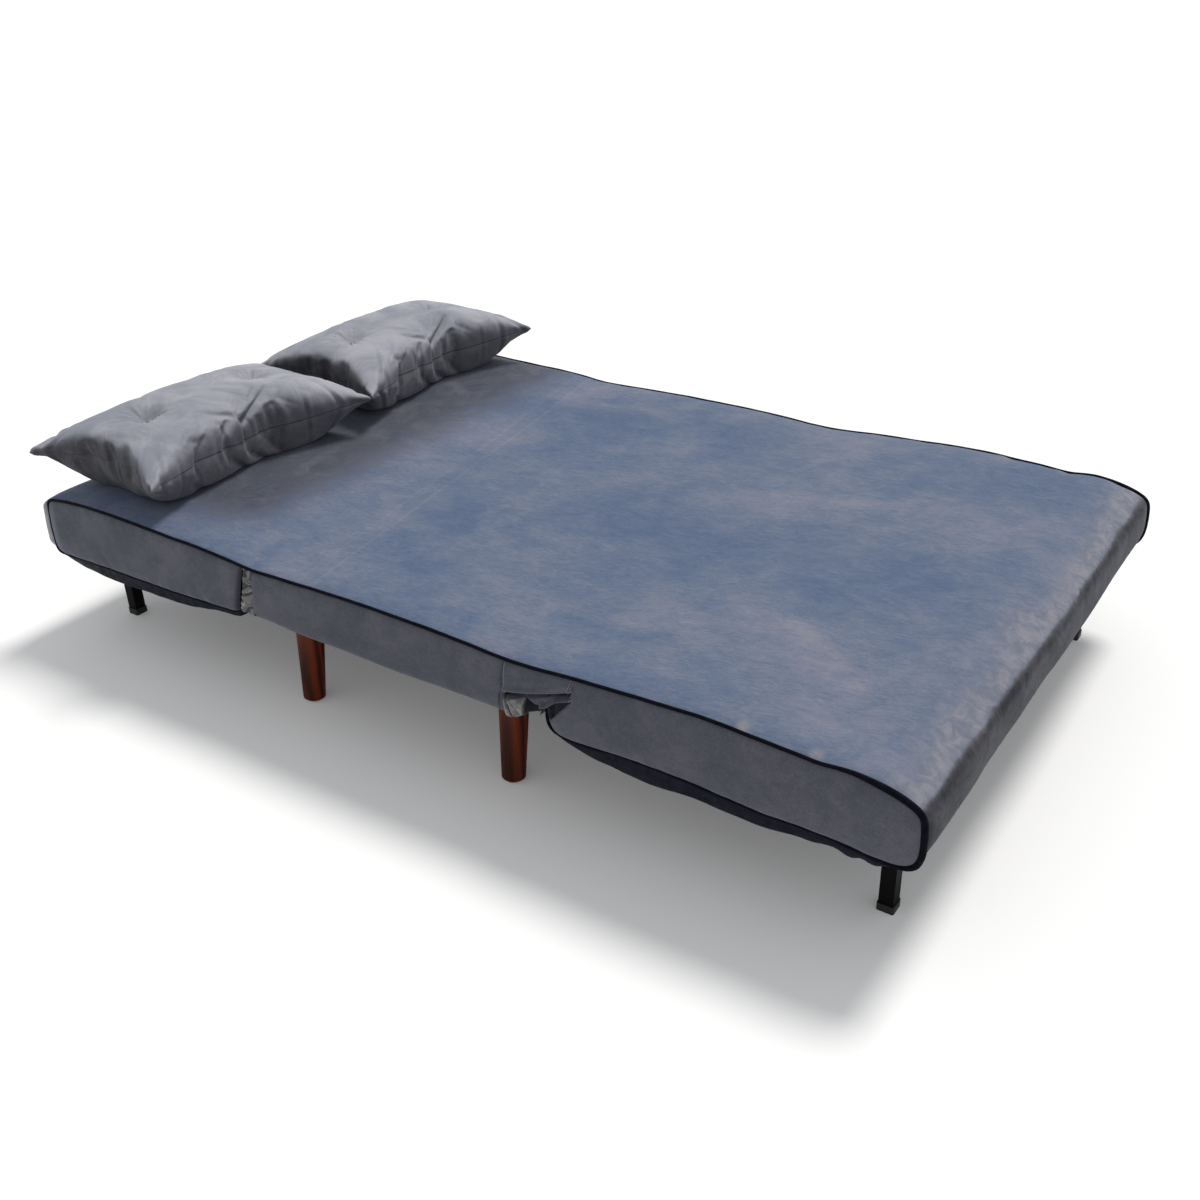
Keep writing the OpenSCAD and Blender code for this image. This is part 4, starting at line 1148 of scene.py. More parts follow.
@dataclass
class SeatBoxing:
    """The boxed side wall of the seat, rolled under its rail."""

    side: Side
    front_y: float = -0.2665
    rear_y: float = 0.3270
    lean: float = 0.0165
    plane: float = 0.5938
    bulge: float = 0.0115
    tuck: float = 0.022
    rolled: float = 0.16
    rail_z: float = 0.1965
    columns: int = 300
    rows: int = 36

    def place(self, u: Array, v: Array) -> tuple[Array, Array]:
        """Lays each point of the wall from under the rail to the piping."""
        share = np.clip((v - self.rolled) / (1.0 - self.rolled), 0.0, 1.0)
        rear = self.rear_y + self.lean * (1.0 - share)
        y = self.front_y + (rear - self.front_y) * u
        head, foot = HEAD_RUN.path[: HEAD_RUN.turn_at()], FOOT_RUN.path[: FOOT_RUN.turn_at()]
        top = np.where(y > 0, np.interp(y, head[:, 0], head[:, 1]), np.interp(-y, -foot[:, 0], foot[:, 1]))
        low = self.rail_z + 0.0060 * smooth((y - 0.22) / 0.11) - 0.0020 * bell(y, -0.02, 0.09)
        under = np.clip((self.rolled - v) / self.rolled, 0.0, 1.0)
        z = low + (top - low) * share + 0.003 * under
        across = boxy(share)
        ends = np.minimum((y - self.front_y) / 0.012, (rear - y) / 0.012)
        seed = 70 + self.side.value
        x = self.plane + self.bulge * across * smooth(ends * 0.6 + 0.4)
        x += across * 0.0018 * ripple(y, z, seed, 0.15, 3)
        x -= under * self.tuck + 0.004 * np.exp(-share / 0.04)
        return np.column_stack([x * self.side.value, y, z]), np.column_stack([y, z - 0.02 * under])

    def make(self) -> bpy.types.Object:
        """Sews the wall."""
        name = f"side_boxing_seat_{self.side.name.lower()}"
        obj = woven(name, self.columns, self.rows, self.place, flip=self.side is Side.LEFT)
        SIDE_VELVET.on(obj)
        co = points(obj)
        # painted shade in a groove near the front and along the rear edge at the hinge
        line = -0.2535 - 0.10 * (co[:, 2] - 0.22)
        groove = bell(co[:, 1], line, 0.0022) * smooth((0.247 - co[:, 2]) / 0.012)
        rear = self.rear_y + self.lean * down_seam(co[:, 2])
        paint(obj, "crease", 0.75 * groove + smooth((co[:, 1] - rear + 0.0060) / 0.003))
        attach(obj, "seat")
        return obj


@dataclass
class Piping:
    """The dark cord sewn round one side, from mid-seat round one end and back to the hinge."""

    panel: Panel
    side: Side
    reach: float = 0.5968
    radius: float = 0.0031
    thick: float = 0.0054

    def make(self) -> bpy.types.Object:
        """Lays the cord."""
        run = RUNS[self.panel]
        length = np.linspace(0.0, run.length, 420)
        path = run.at(length)
        y = path[:, 0]
        seed = 90 + self.panel.value * 2 + self.side.value
        wander = 0.0007 * ripple(length, 0 * length, seed, 0.06, 2)
        radius = np.full(len(length), self.radius)
        if self.panel is Panel.FOOT:
            radius += (self.thick - self.radius) * smooth((-y - 0.84) / 0.10)
        hidden = 0.014 * smooth((length - run.length + 0.040) / 0.026) if self.panel is Panel.HEAD else 0.0
        x = (self.reach + wander - hidden) * self.side.value
        name = f"piping_{self.panel.name.lower()}_{self.side.name.lower()}"
        obj = corded(name, np.column_stack([x, path]), radius)
        PIPING_CLOTH.on(obj)
        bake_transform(obj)
        return obj


@dataclass
class RuchedGusset:
    """The narrow gathered strip at the backrest hinge."""

    side: Side
    front_y: float = 0.3262
    front_lean: float = 0.0168
    width: float = 0.0284
    spread: float = 0.0128
    low_z: float = 0.1990
    high_z: float = 0.3030
    proud: float = 0.0095
    gathers: float = 3.7
    slopes: tuple[tuple[float, ...], tuple[float, ...]] = (
        (0.0, 0.18, 0.30, 0.46, 0.60, 0.74, 0.86, 1.0),
        (0.25, 0.30, -0.22, 0.20, 0.32, -0.26, 0.18, 0.1),
    )

    def place(self, u: Array, v: Array) -> tuple[Array, Array]:
        """Lays each point of the strip, with its gathers pulled up between the seams."""
        z = self.low_z + (self.high_z - self.low_z) * v
        wander = 0.0016 * np.sin(v * 7.5 + 0.6) * np.sin(u * math.pi)
        y = self.front_y + self.front_lean * (1.0 - v) + (self.width + self.spread * (1.0 - v)) * u + wander
        x = 0.5905 + self.proud * boxy(u) + (1.0 - (2.0 * u - 1.0) ** 2) * 0.0062 * self.folds(u, v)
        x -= 0.006 * np.exp(-v / 0.03)
        return np.column_stack([x * self.side.value, y, z]), np.column_stack([y, z])

    def folds(self, u: Array, v: Array) -> Array:
        """How high the gathers stand at a place, between about -1 and 1."""
        swing = 0.10 * np.sin(v * 9.0 + 1.0) + 0.05 * np.sin(v * 23.0 + 3.0 * u)
        slope = np.interp(v, *self.slopes)
        turn = (v + swing * 0.6 + slope * (u - 0.5)) * math.tau * 0.5 * self.gathers
        fold = 1.0 - 2.0 * np.abs(np.sin(turn)) ** 0.7
        other = 1.0 - 2.0 * np.abs(np.sin(turn * 1.9 + 2.0 * u + 1.0)) ** 0.6
        return 0.72 * fold + 0.40 * other

    def make(self) -> bpy.types.Object:
        """Sews the strip between the seat and the backrest."""
        name = f"hinge_gusset_head_{self.side.name.lower()}"
        obj = woven(name, 40, 170, self.place, flip=self.side is Side.LEFT, thickness=0.0008)
        GUSSET_VELVET.on(obj)
        co = points(obj)
        v = (co[:, 2] - self.low_z) / (self.high_z - self.low_z)
        u = (co[:, 1] - self.front_y - self.front_lean * (1.0 - v)) / (self.width + self.spread * (1.0 - v))
        seams = smooth((0.10 - u) / 0.06) + smooth((u - 0.93) / 0.05)
        folds = self.folds(u, v)
        # painted highlight on the crests of the gathers
        paint(obj, "facet", smooth((folds - 0.02) / 0.35))
        # painted shade in the troughs of the gathers and at both seams
        paint(obj, "crease", 0.62 * smooth((-0.42 - folds) / 0.35) + seams)
        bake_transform(obj)
        return obj


@dataclass
class DroopingGusset:
    """The wide folded panel at the footrest hinge, with its pleat and bunched corner."""

    side: Side
    seat_y: float = -0.2640
    foot_y: float = -0.4050
    columns: int = 150
    rows: int = 130
    shares: tuple[float, ...] = (
        0.0, 0.08, 0.15, 0.21, 0.267, 0.35, 0.435, 0.50, 0.545, 0.60, 0.68, 0.75, 0.86, 0.95, 1.0
    )
    hem: tuple[float, ...] = (
        0.1955, 0.1975, 0.2010, 0.2065, 0.2115, 0.2160, 0.2200, 0.2300, 0.2365, 0.2385, 0.2480,
        0.2567, 0.2640, 0.2690, 0.2725
    )

    def pleat(self, share: Array) -> Array:
        """The height of the long pleat at a share of the way to the footrest."""
        return 0.2465 + 0.045 * share - 0.003 * np.sin(share * math.pi)

    def fan(self, y: Array, z: Array) -> Array:
        """The angle round the bunch's upper corner, in degrees."""
        return np.degrees(np.arctan2(-0.2650 - y, 0.2620 - z))

    def pocket(self, share: Array, z: Array) -> Array:
        """How far a place lies in the dark pocket between the bunch and the flap."""
        lid = np.interp(share, (0.30, 0.34, 0.533, 0.60), (0.2505, 0.2480, 0.2372, 0.2300))
        return smooth((lid - z) / 0.0030) * smooth((share - 0.300) / 0.018) * smooth((0.60 - share) / 0.02)

    def low_edge(self, share: Array) -> Array:
        """The height of the lower edge at a share of the way to the footrest."""
        return np.interp(share, self.shares, self.hem)

    def place(self, u: Array, v: Array) -> tuple[Array, Array]:
        """Lays each point of the panel: flat above, pleated across, bunched below."""
        y = self.seat_y + (self.foot_y - self.seat_y) * u
        upper = FOOT_RUN.path[: FOOT_RUN.turn_at()]
        top = np.interp(-y, -upper[:, 0], upper[:, 1]) - 0.0015
        low = self.low_edge(u)
        z = low + (top - low) * v
        ends = smooth(u / 0.05) * smooth((1.0 - u) / 0.05)
        whole = (z - 0.195) / (top - 0.195)
        x = 0.5945 + 0.0125 * boxy(whole) - 0.0022 * (1.0 - ends)
        # the long pleat that climbs from the seat seam to the footrest seam
        under = z - self.pleat(u)
        hold = 0.45 + 0.55 * ends
        x += 0.0080 * bell(under, 0.0045, 0.0055) * hold
        x += 0.0025 * bell(under, 0.0170, 0.0100) * ends
        crease = smooth((0.985 - u) / 0.05) * smooth((u - 0.02) / 0.05)
        x -= 0.0115 * bell(under, -0.0060, 0.0042) * crease
        # the flap below it, with a rolled lower rim on the footrest half
        right = smooth((u - 0.40) / 0.16)
        x -= right * 0.0040 * smooth((-under) / 0.006)
        x += right * 0.0070 * bell(z - low, 0.0030, 0.0042)
        x -= right * 0.0030 * bell(z - low, 0.0120, 0.0050)
        # the bunch beside the seat, with facets fanning from its upper corner
        below = smooth((-under - 0.006) / 0.005) * (1.0 - right)
        facets = np.interp(
            self.fan(y, z), (-6.0, 0.0, 8.0, 15.0, 17.5, 20.0, 30.0, 42.0, 55.0, 64.0, 80.0),
            (-0.003, 0.003, 0.0085, 0.0095, -0.0060, 0.0060, 0.0115, 0.0085, 0.0050, -0.002, -0.004),
        )
        x += below * facets * (0.6 + 0.4 * ends)
        x -= 0.0120 * self.pocket(u, z)
        x += 0.0010 * ripple(y, z, 150 + self.side.value, 0.035, 3) * ends
        # the hem turns in under the bed
        x -= 0.010 * np.exp(-v / 0.022)
        return np.column_stack([x * self.side.value, y, z]), np.column_stack([y, z])

    def make(self) -> bpy.types.Object:
        """Sews the panel between the seat and the footrest."""
        name = f"hinge_gusset_foot_{self.side.name.lower()}"
        obj = woven(name, self.columns, self.rows, self.place, flip=self.side is Side.RIGHT, thickness=0.001)
        SIDE_VELVET.on(obj)
        co = points(obj)
        y, z = co[:, 1], co[:, 2]
        u = (y - self.seat_y) / (self.foot_y - self.seat_y)
        under, angle = z - self.pleat(u), self.fan(y, z)
        # painted highlight on the facets of the bunch, broken by the slits between them
        bunch = smooth((-under - 0.010) / 0.004) * smooth((0.315 - u) / 0.02)
        leaning = 0.6 * bell(angle, 38.0 + 160.0 * (0.235 - z), 2.0)
        slit = bell(angle, 17.5, 2.0) + leaning + bell(angle, -1.0, 2.0)
        paint(obj, "facet", bunch * (1.0 - np.clip(slit, 0.0, 1.0)))
        # painted shade under the pleat, in the pocket, in the slits between facets and beside the seat seam
        line = bell(under, -0.0055, 0.0030) * smooth((0.99 - u) / 0.03)
        paint(obj, "crease", line + self.pocket(u, z) + 0.9 * bunch * slit + smooth((0.010 - u) / 0.006))
        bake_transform(obj)
        return obj

    def stitches(self) -> bpy.types.Object:
        """Sews the rows of top stitches beside the two seams."""
        bm = bmesh.new()
        size, pitch = 0.00062, 0.0040
        for share, first, last in ((0.028, 0.46, 0.97), (0.962, 0.10, 0.97), (0.985, 0.10, 0.97)):
            spots, _ = self.place(np.full(60, share), np.linspace(first, last, 60))
            walked = np.concatenate([[0.0], np.cumsum(np.linalg.norm(np.diff(spots, axis=0), axis=1))])
            for length in np.arange(0.0, walked[-1], pitch):
                spot = Vector([float(np.interp(length, walked, spots[:, k])) for k in range(3)])
                spot.x += self.side.value * 0.0003
                shape = Matrix.Translation(spot) @ Matrix.Diagonal((1.0, 1.0, 2.4, 1.0))
                bmesh.ops.create_icosphere(bm, subdivisions=1, radius=size, matrix=shape)
        obj = from_bmesh(f"top_stitches_{self.side.name.lower()}", bm)
        THREAD.on(obj)
        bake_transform(obj)
        return obj


@dataclass
class HingeWall:
    """The short cloth wall that closes a pad where it faces a hinge."""

    name: str
    body: str
    y: float
    facing: float
    low_z: float = 0.2065
    high_z: float = 0.2900
    half_width: float = 0.5560

    def place(self, u: Array, v: Array) -> tuple[Array, Array]:
        """Lays each point of the wall."""
        x = self.half_width * (2.0 * u - 1.0)
        z = self.low_z + (self.high_z - self.low_z) * v
        round_off = 0.006 * (1.0 - boxy(v))
        y = self.y - self.facing * (round_off + 0.0010 * ripple(x, z, 200 + int(self.y * 100), 0.11, 3))
        return np.column_stack([x, y, z]), np.column_stack([x, z])

    def make(self) -> bpy.types.Object:
        """Sews the wall."""
        obj = woven(self.name, 120, 14, self.place, flip=self.facing > 0)
        SIDE_VELVET.on(obj)
        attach(obj, self.body)
        return obj


@dataclass
class Underside:
    """The sagging base cloth under a head or foot panel, with its two leg slots."""

    panel: Panel
    half_width: float = 0.5960
    slot_x: float = 0.485
    slot_half: float = 0.0155
    slot_low: float = 0.668
    slot_high: float = 0.905
    bunches: tuple[tuple[float, float, float], ...] = (
        (0.915, 0.012, 1.0), (0.893, 0.010, -1.0), (0.872, 0.012, 1.0), (0.815, 0.016, 0.6)
    )

    def lines(self) -> tuple[Array, Array]:
        """The places of the grid's columns and rows, with lines on the slots' edges."""
        tight = self.slot_x - self.slot_half, self.slot_x + self.slot_half
        inner = np.linspace(0.0, tight[0], 51)[:-1]
        slot = np.linspace(*tight, 6)[:-1]
        outer = self.half_width - (self.half_width - tight[1]) * np.linspace(1.0, 0.0, 26) ** 2.0
        half = np.concatenate([inner, slot, outer])
        xs = np.concatenate([-half[:0:-1], half])
        run = RUNS[self.panel].path
        end = abs(run[RUNS[self.panel].turn_at(), 0]) - 0.006
        start = 0.3540 if self.panel is Panel.HEAD else abs(run[-1, 0]) + 0.004
        low, high = self.slot_low, self.slot_high
        ys = np.concatenate(
            [np.linspace(start, low, 42)[:-1], np.linspace(low, high, 36)[:-1], np.linspace(high, end, 14)]
        )
        return xs, ys

    def height(self, x: Array, y: Array) -> Array:
        """The height of the cloth at a place."""
        run = RUNS[self.panel]
        lower = run.path[run.turn_at() :][::-1]
        piping = np.interp(y, np.abs(lower[:, 0]), lower[:, 1])
        start, end = 0.350, abs(run.path[run.turn_at(), 0])
        edge = self.half_width - np.abs(x)
        share = (y - start) / (end - start)
        length_wise = np.interp(y, *zip(*SAGS[self.panel]))
        width_wise = 1.0 - np.exp(-edge / 0.0045)
        seed = 300 + self.panel.value
        drop = length_wise * width_wise
        drop *= 1.0 + 0.16 * ripple(x, y, seed, 0.30, 2)
        loose = smooth(edge / 0.02) * smooth(share / 0.08) * smooth((1.0 - share) / 0.05)
        drop += loose * 0.0030 * ripple(x * 0.35 + y * 0.5, y, seed + 1, 0.10, 3)
        near = np.exp(-edge / 0.05) * loose * smooth(edge / 0.003)
        drop += near * 0.0045 * ripple(y + 0.4 * edge, 0.5 * edge, seed + 2, 0.085, 2)
        if self.panel is Panel.FOOT:
            # the cloth bunches where the steel leg comes through
            lumps = sum(high * bell(y, where, wide) for where, wide, high in self.bunches)
            drop += 0.0040 * lumps * np.exp(-((edge - 0.016) / 0.016) ** 2)
        return piping - 0.002 - drop

    def place(self, u: Array, v: Array) -> tuple[Array, Array]:
        """Lays each point of the cloth."""
        xs, ys = self.lines()
        x = xs[np.rint(u * (len(xs) - 1)).astype(int)]
        y = ys[np.rint(v * (len(ys) - 1)).astype(int)]
        z = self.height(x, y)
        return np.column_stack([x, y * self.panel.value, z]), np.column_stack([x, y])

    def in_slot(self, u: Array, v: Array) -> Array:
        """Says which faces lie in a leg slot."""
        xs, ys = self.lines()
        column = np.floor(u * (len(xs) - 1)).astype(int)
        row = np.floor(v * (len(ys) - 1)).astype(int)
        x = 0.5 * (xs[column] + xs[column + 1])
        y = 0.5 * (ys[row] + ys[row + 1])
        low, high = self.slot_low, self.slot_high
        return (np.abs(np.abs(x) - self.slot_x) < self.slot_half) & (y > low) & (y < high)

    def make(self) -> list[bpy.types.Object]:
        """Sews the cloth and binds its slots."""
        xs, ys = self.lines()
        name = f"base_cloth_{self.panel.name.lower()}"
        flip = self.panel is Panel.HEAD
        squares = len(xs) - 1, len(ys) - 1
        cloth = woven(name, *squares, self.place, flip=flip, thickness=0.0008, cut=self.in_slot)
        BASE_CLOTH.on(cloth)
        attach(cloth, BODY_OF[self.panel])
        made = [cloth]
        low, high = self.slot_low, self.slot_high
        for side in Side:
            around = []
            for share in np.linspace(0.0, 1.0, 60, endpoint=False):
                turn = share * math.tau
                square = max(abs(math.cos(turn)), abs(math.sin(turn)))
                around.append((math.cos(turn) / square, math.sin(turn) / square))
            ring = np.array(around)
            x = side.value * self.slot_x + ring[:, 0] * self.slot_half
            y = 0.5 * (low + high) + ring[:, 1] * 0.5 * (high - low)
            path = np.column_stack([x, y * self.panel.value, self.height(x, y)])
            name = f"slot_binding_{self.panel.name.lower()}_{side.name.lower()}"
            bind = corded(name, path, 0.0019, closed=True)
            PIPING_CLOTH.on(bind)
            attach(bind, BODY_OF[self.panel])
            made.append(bind)
        return made


@dataclass
class DustCover:
    """The thin black cloth stapled under the seat."""

    half_width: float = 0.5740
    half_length: float = 0.3130
    z: float = 0.2046
    sag: float = 0.0060
    inset: float = 0.012
    pitch: float = 0.048

    def place(self, u: Array, v: Array) -> tuple[Array, Array]:
        """Lays each point of the cloth."""
        x = self.half_width * (2.0 * u - 1.0)
        y = self.half_length * (2.0 * v - 1.0)
        loose = smooth((self.half_width - 0.14 - np.abs(x)) / 0.12)
        loose *= smooth((self.half_length - np.abs(y)) / 0.09)
        z = self.z - loose * self.sag * (1.0 + 0.4 * ripple(x, y, 400, 0.2, 2))
        return np.column_stack([x, y, z]), np.column_stack([x, y])

    def make(self) -> list[bpy.types.Object]:
        """Cuts the cloth and staples it round its edge."""
        cloth = woven("dust_cloth_seat", 110, 60, self.place, flip=True, thickness=0.0006)
        DUST_CLOTH.on(cloth)
        bm = bmesh.new()
        edge_x, edge_y, z = self.half_width - self.inset, self.half_length - self.inset, self.z - 0.0008
        for sign in (-1, 1):
            for x in np.arange(-0.528, 0.5281, self.pitch):
                self.staple(bm, Vector((x, sign * edge_y, z)), True)
            for y in np.arange(-0.240, 0.2401, self.pitch):
                self.staple(bm, Vector((sign * edge_x, y, z)), False)
        staples = from_bmesh("dust_cloth_staples", bm)
        ZINC.on(staples)
        for obj, slot in ((cloth, "base_cloth"), (staples, "zinc")):
            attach(obj, "seat")
        return [cloth, staples]

    def staple(self, bm: bmesh.types.BMesh, where: Vector, across: bool) -> None:
        """Adds one staple's crown, bevelled along its edges."""
        size = (0.0100, 0.0011, 0.0007) if across else (0.0011, 0.0100, 0.0007)
        shape = Matrix.Translation(where) @ Matrix.Diagonal((*size, 1.0))
        made = bmesh.ops.create_cube(bm, size=1.0, matrix=shape)
        edges = list({edge for vert in made["verts"] for edge in vert.link_edges})
        bmesh.ops.bevel(bm, geom=edges, offset=0.0002, segments=1, profile=0.5, affect="EDGES", material=-1)


# ---------------------------------------------------------------- the pillows


@dataclass(frozen=True)
class Pucker:
    """One fold that the pillow's seam draws into the cloth."""

    edge: tuple[int, int]
    place: float
    reach: float
    depth: float
    width: float
    lean: float


@dataclass
class Pillow:
    """A velvet pillow with two tufted buttons, blown up as cloth from a flat cut."""

    side: Side
    cut_width: float = 0.640
    cut_length: float = 0.455
    start_half: float = 0.045
    bending: float = 0.05
    tuft_reach: float = 0.150
    tuft_back: float = 0.008
    tuft_depth: float = 0.017
    growth: float = 1.045
    fullness: float = 0.64
    crown: float = 1.27
    belly: float = 1.30
    apart: float = 0.011
    lean: float = 0.6
    eased_from: float = 0.185
    seam_kept: float = 0.014
    pinch: float = 0.62
    pinch_reach: float = 0.075
    tip_pull: float = 0.007
    tip_reach: float = 0.060
    seam_lift: float = 0.011
    corner_lift: float = 0.010
    frames: int = 30
    pressure: float = 3.6
    floor_z: float = 0.3262
    button: float = 0.0115

    @property
    def node(self) -> str:
        """The name of the solid it stands for."""
        return f"pillow_{self.side.name.lower()}"

    @property
    def halves(self) -> tuple[float, float]:
        """Half the cut's width and half its length."""
        return self.cut_width / 2, self.cut_length / 2

    def inward(self, flat: Array) -> Array:
        """How far each place of the cut lies in from its side and its end, as rows of two."""
        return np.array(self.halves) - np.abs(flat[:, :2])

    def flat(self) -> bmesh.types.BMesh:
        """Two layers of cloth joined round their edge, slightly opened."""
        bm = bmesh.new()
        cut = bm.verts.layers.float_vector.new("cut")
        turn = Matrix.Diagonal((self.cut_width, self.cut_length, 1.0, 1.0))
        bmesh.ops.create_grid(bm, x_segments=88, y_segments=62, size=0.5, matrix=turn)
        lower = bmesh.ops.duplicate(bm, geom=bm.verts[:] + bm.edges[:] + bm.faces[:])
        faces = [g for g in lower["geom"] if isinstance(g, bmesh.types.BMFace)]
        bmesh.ops.reverse_faces(bm, faces=faces)
        below = {v for f in faces for v in f.verts}
        half_x, half_y = self.halves
        for vert in bm.verts:
            u, v = vert.co.x / half_x, vert.co.y / half_y
            open_up = max(0.0, 1 - u * u) ** 0.5 * max(0.0, 1 - v * v) ** 0.5
            sign = -1.0 if vert in below else 1.0
            vert[cut] = (vert.co.x, vert.co.y, sign)
            vert.co.z = sign * (self.start_half * open_up + 0.0006)
            # the cut is hollowed a little between its corners
            vert.co.x *= 1.0 - 0.030 * (1 - v * v)
            vert.co.y *= 1.0 - 0.045 * (1 - u * u)
        bmesh.ops.remove_doubles(bm, verts=bm.verts[:], dist=0.0016)
        return bm

    def blown(self, obj: bpy.types.Object) -> None:
        """Runs the cloth simulation and keeps its last shape."""
        cloth = obj.modifiers.new("blow", "CLOTH")
        settings = cloth.settings
        settings.quality = 6
        settings.mass = 0.25
        settings.tension_stiffness = 20.0
        settings.compression_stiffness = 20.0
        settings.shear_stiffness = 6.0
        settings.bending_stiffness = self.bending
        settings.air_damping = 2.0
        settings.use_pressure = True
        settings.uniform_pressure_force = self.pressure
        settings.effector_weights.gravity = 0.0
        cloth.collision_settings.use_collision = False
        cloth.collision_settings.use_self_collision = False
        cloth.point_cache.frame_start = 1
        cloth.point_cache.frame_end = self.frames
        scene = bpy.context.scene
        for number in range(1, self.frames + 1):
            scene.frame_set(number)
        settled(obj)
        scene.frame_set(1)

    def cut_places(self, obj: bpy.types.Object) -> Array:
        """Where each point lay in the flat cut, as rows of (x, y, layer)."""
        flat = np.empty(len(obj.data.vertices) * 3)
        obj.data.attributes["cut"].data.foreach_get("vector", flat)
        return flat.reshape(-1, 3)

    def eased(self, obj: bpy.types.Object) -> None:
        """Eases the crumpled ends and leaves the long folds at the front and back as they are."""
        bm = bmesh.new()
        bm.from_mesh(obj.data)
        cut = bm.verts.layers.float_vector["cut"]
        last_x, last_y = (half - self.seam_kept for half in self.halves)
        ends = [
            vert
            for vert in bm.verts
            if self.eased_from < abs(vert[cut].x) < last_x and abs(vert[cut].y) < last_y
        ]
        axes = dict.fromkeys(("use_axis_x", "use_axis_y", "use_axis_z"), True)
        for _ in range(8):
            bmesh.ops.smooth_vert(bm, verts=ends, factor=0.5, **axes)
        bm.to_mesh(obj.data)
        bm.free()

    def fitted(self, obj: bpy.types.Object) -> None:
        """Scales the pillow to the space of its solid and rests it on the bed."""
        low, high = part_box(self.node)
        co = points(obj)
        size = co.max(0) - co.min(0)
        centre = (co.max(0) + co.min(0)) / 2
        want = np.array(high) - np.array(low)
        log.info("%s came out at %s", self.node, np.round(size, 3))
        co = (co - centre) / size * want
        co[:, 0] *= self.growth
        # the corners are pinched to points
        flat = self.cut_places(obj)
        inward = self.inward(flat)
        corner = np.hypot(*inward.T)
        co[:, 2] *= 1.0 - self.pinch * bell(corner, 0.0, self.pinch_reach)
        pull = self.tip_pull * bell(corner, 0.0, self.tip_reach)
        co[:, 0] += np.sign(flat[:, 0]) * pull
        co[:, 1] += np.sign(flat[:, 1]) * 0.6 * pull
        # the upper layer is fuller towards its corners, and the lower one flattens on the bed
        above = co[:, 2] > 0
        half = want[2] / 2
        raised = half * self.crown * (np.clip(co[:, 2], 0.0, None) / half) ** self.fullness
        co[:, 2] = np.where(above, raised, co[:, 2] * self.belly) - 0.001
        # the seam rides up all round, and most at the corners
        co[:, 2] += self.seam_lift * bell(inward.min(1), 0.0, 0.055)
        co[:, 2] += self.corner_lift * bell(corner, 0.0, 0.120)
        middle = (np.array(high) + np.array(low)) / 2 + (self.apart * self.side.value, 0.0, 0.0)
        lean = Matrix.Rotation(math.radians(self.lean * self.side.value), 3, "Z")
        self.rest(obj, co @ np.array(lean).T + middle)

    def rest(self, obj: bpy.types.Object, co: Array) -> None:
        """Presses the lowest cloth flat on the bed, with a soft rounded edge."""
        soft = 0.010
        above = co[:, 2] - self.floor_z
        co[:, 2] = self.floor_z + 0.5 * (above + np.sqrt(above**2 + soft**2)) - 0.35 * soft
        co[:, 2] = np.maximum(co[:, 2], self.floor_z)
        obj.data.vertices.foreach_set("co", co.ravel())
        obj.data.update()

    def puckers(self) -> list[Pucker]:
        """The folds along the seam, uneven but the same on every run."""
        rng = np.random.default_rng(700 + self.side.value)
        half_x, half_y = self.halves
        folds = []
        for edge, half in (((0, -1), half_x), ((0, 1), half_x), ((-1, 0), half_y), ((1, 0), half_y)):
            place = -half + rng.uniform(0.02, 0.05)
            while place < half - 0.02:
                near_end = bell(np.array(abs(place)), half - 0.035, 0.05)
                folds.append(
                    Pucker(
                        edge,
                        place,
                        rng.uniform(0.022, 0.060) * (1.0 + 0.5 * near_end),
                        rng.uniform(0.0010, 0.0044) * (1.0 + 0.6 * near_end),
                        rng.uniform(0.0042, 0.0075),
                        rng.uniform(-0.35, 0.35) - 0.5 * float(near_end) * math.copysign(1.0, place),
                    )
                )
                place += rng.uniform(0.026, 0.080)
        return folds

    def tufted(self, flat: Array) -> Array:
        """How far the two tufts and the valley between them press each point in."""
        depth = np.zeros(len(flat))
        for k in (-1, 1):
            dx, dy = flat[:, 0] - k * self.tuft_reach, flat[:, 1] - self.tuft_back
            near, turn = np.hypot(dx, dy), np.arctan2(dy, dx)
            spokes = 0.6 * np.sin(turn * 7 + k + 1.3 * np.sin(turn * 2 + k))
            spokes += 0.4 * np.sin(turn * 12 + 2.0 * k)
            crisp = 1.0 - 2.0 * np.abs(spokes) ** 0.7
            depth += self.tuft_depth * bell(near, 0.0, 0.026) + 0.010 * bell(near, 0.0, 0.075)
            depth -= 0.0036 * crisp * bell(near, 0.034, 0.026)
        between = smooth((0.20 - np.abs(flat[:, 0])) / 0.06)
        depth += 0.006 * bell(flat[:, 1], self.tuft_back, 0.030) * between
        return depth * smooth((flat[:, 2] + 0.2) / 0.4)

    def gathered(self, flat: Array) -> Array:
        """How far the folds along the seam push each point out."""
        push = np.zeros(len(flat))
        for fold in self.puckers():
            axis = 0 if fold.edge[1] else 1
            sign = fold.edge[1] or fold.edge[0]
            inward = self.halves[1 - axis] - sign * flat[:, 1 - axis]
            along = flat[:, axis] - fold.place - fold.lean * inward
            fade = bell(inward, 0.0, fold.reach) * (0.55 + 0.45 * smooth(inward / 0.008))
            push -= fold.depth * bell(along, 0.0, fold.width) * fade
            push += 0.55 * fold.depth * bell(along, 1.7 * fold.width, 1.2 * fold.width) * fade
        return push

    def sculpted(self, obj: bpy.types.Object) -> None:
        """Presses in the tufts, the seam and the folds, marks the seam line, and paints the highlight on top
        and the shade on the left side.
        """
        co, flat, normal = points(obj), self.cut_places(obj), normals(obj)
        seam = self.inward(flat).min(1)
        push = self.gathered(flat) - self.tufted(flat) - 0.0016 * bell(seam, 0.0, 0.0045)
        push += 0.0018 * ripple(flat[:, 0], flat[:, 1], 500 + self.side.value, 0.11, 3) * smooth(seam / 0.03)
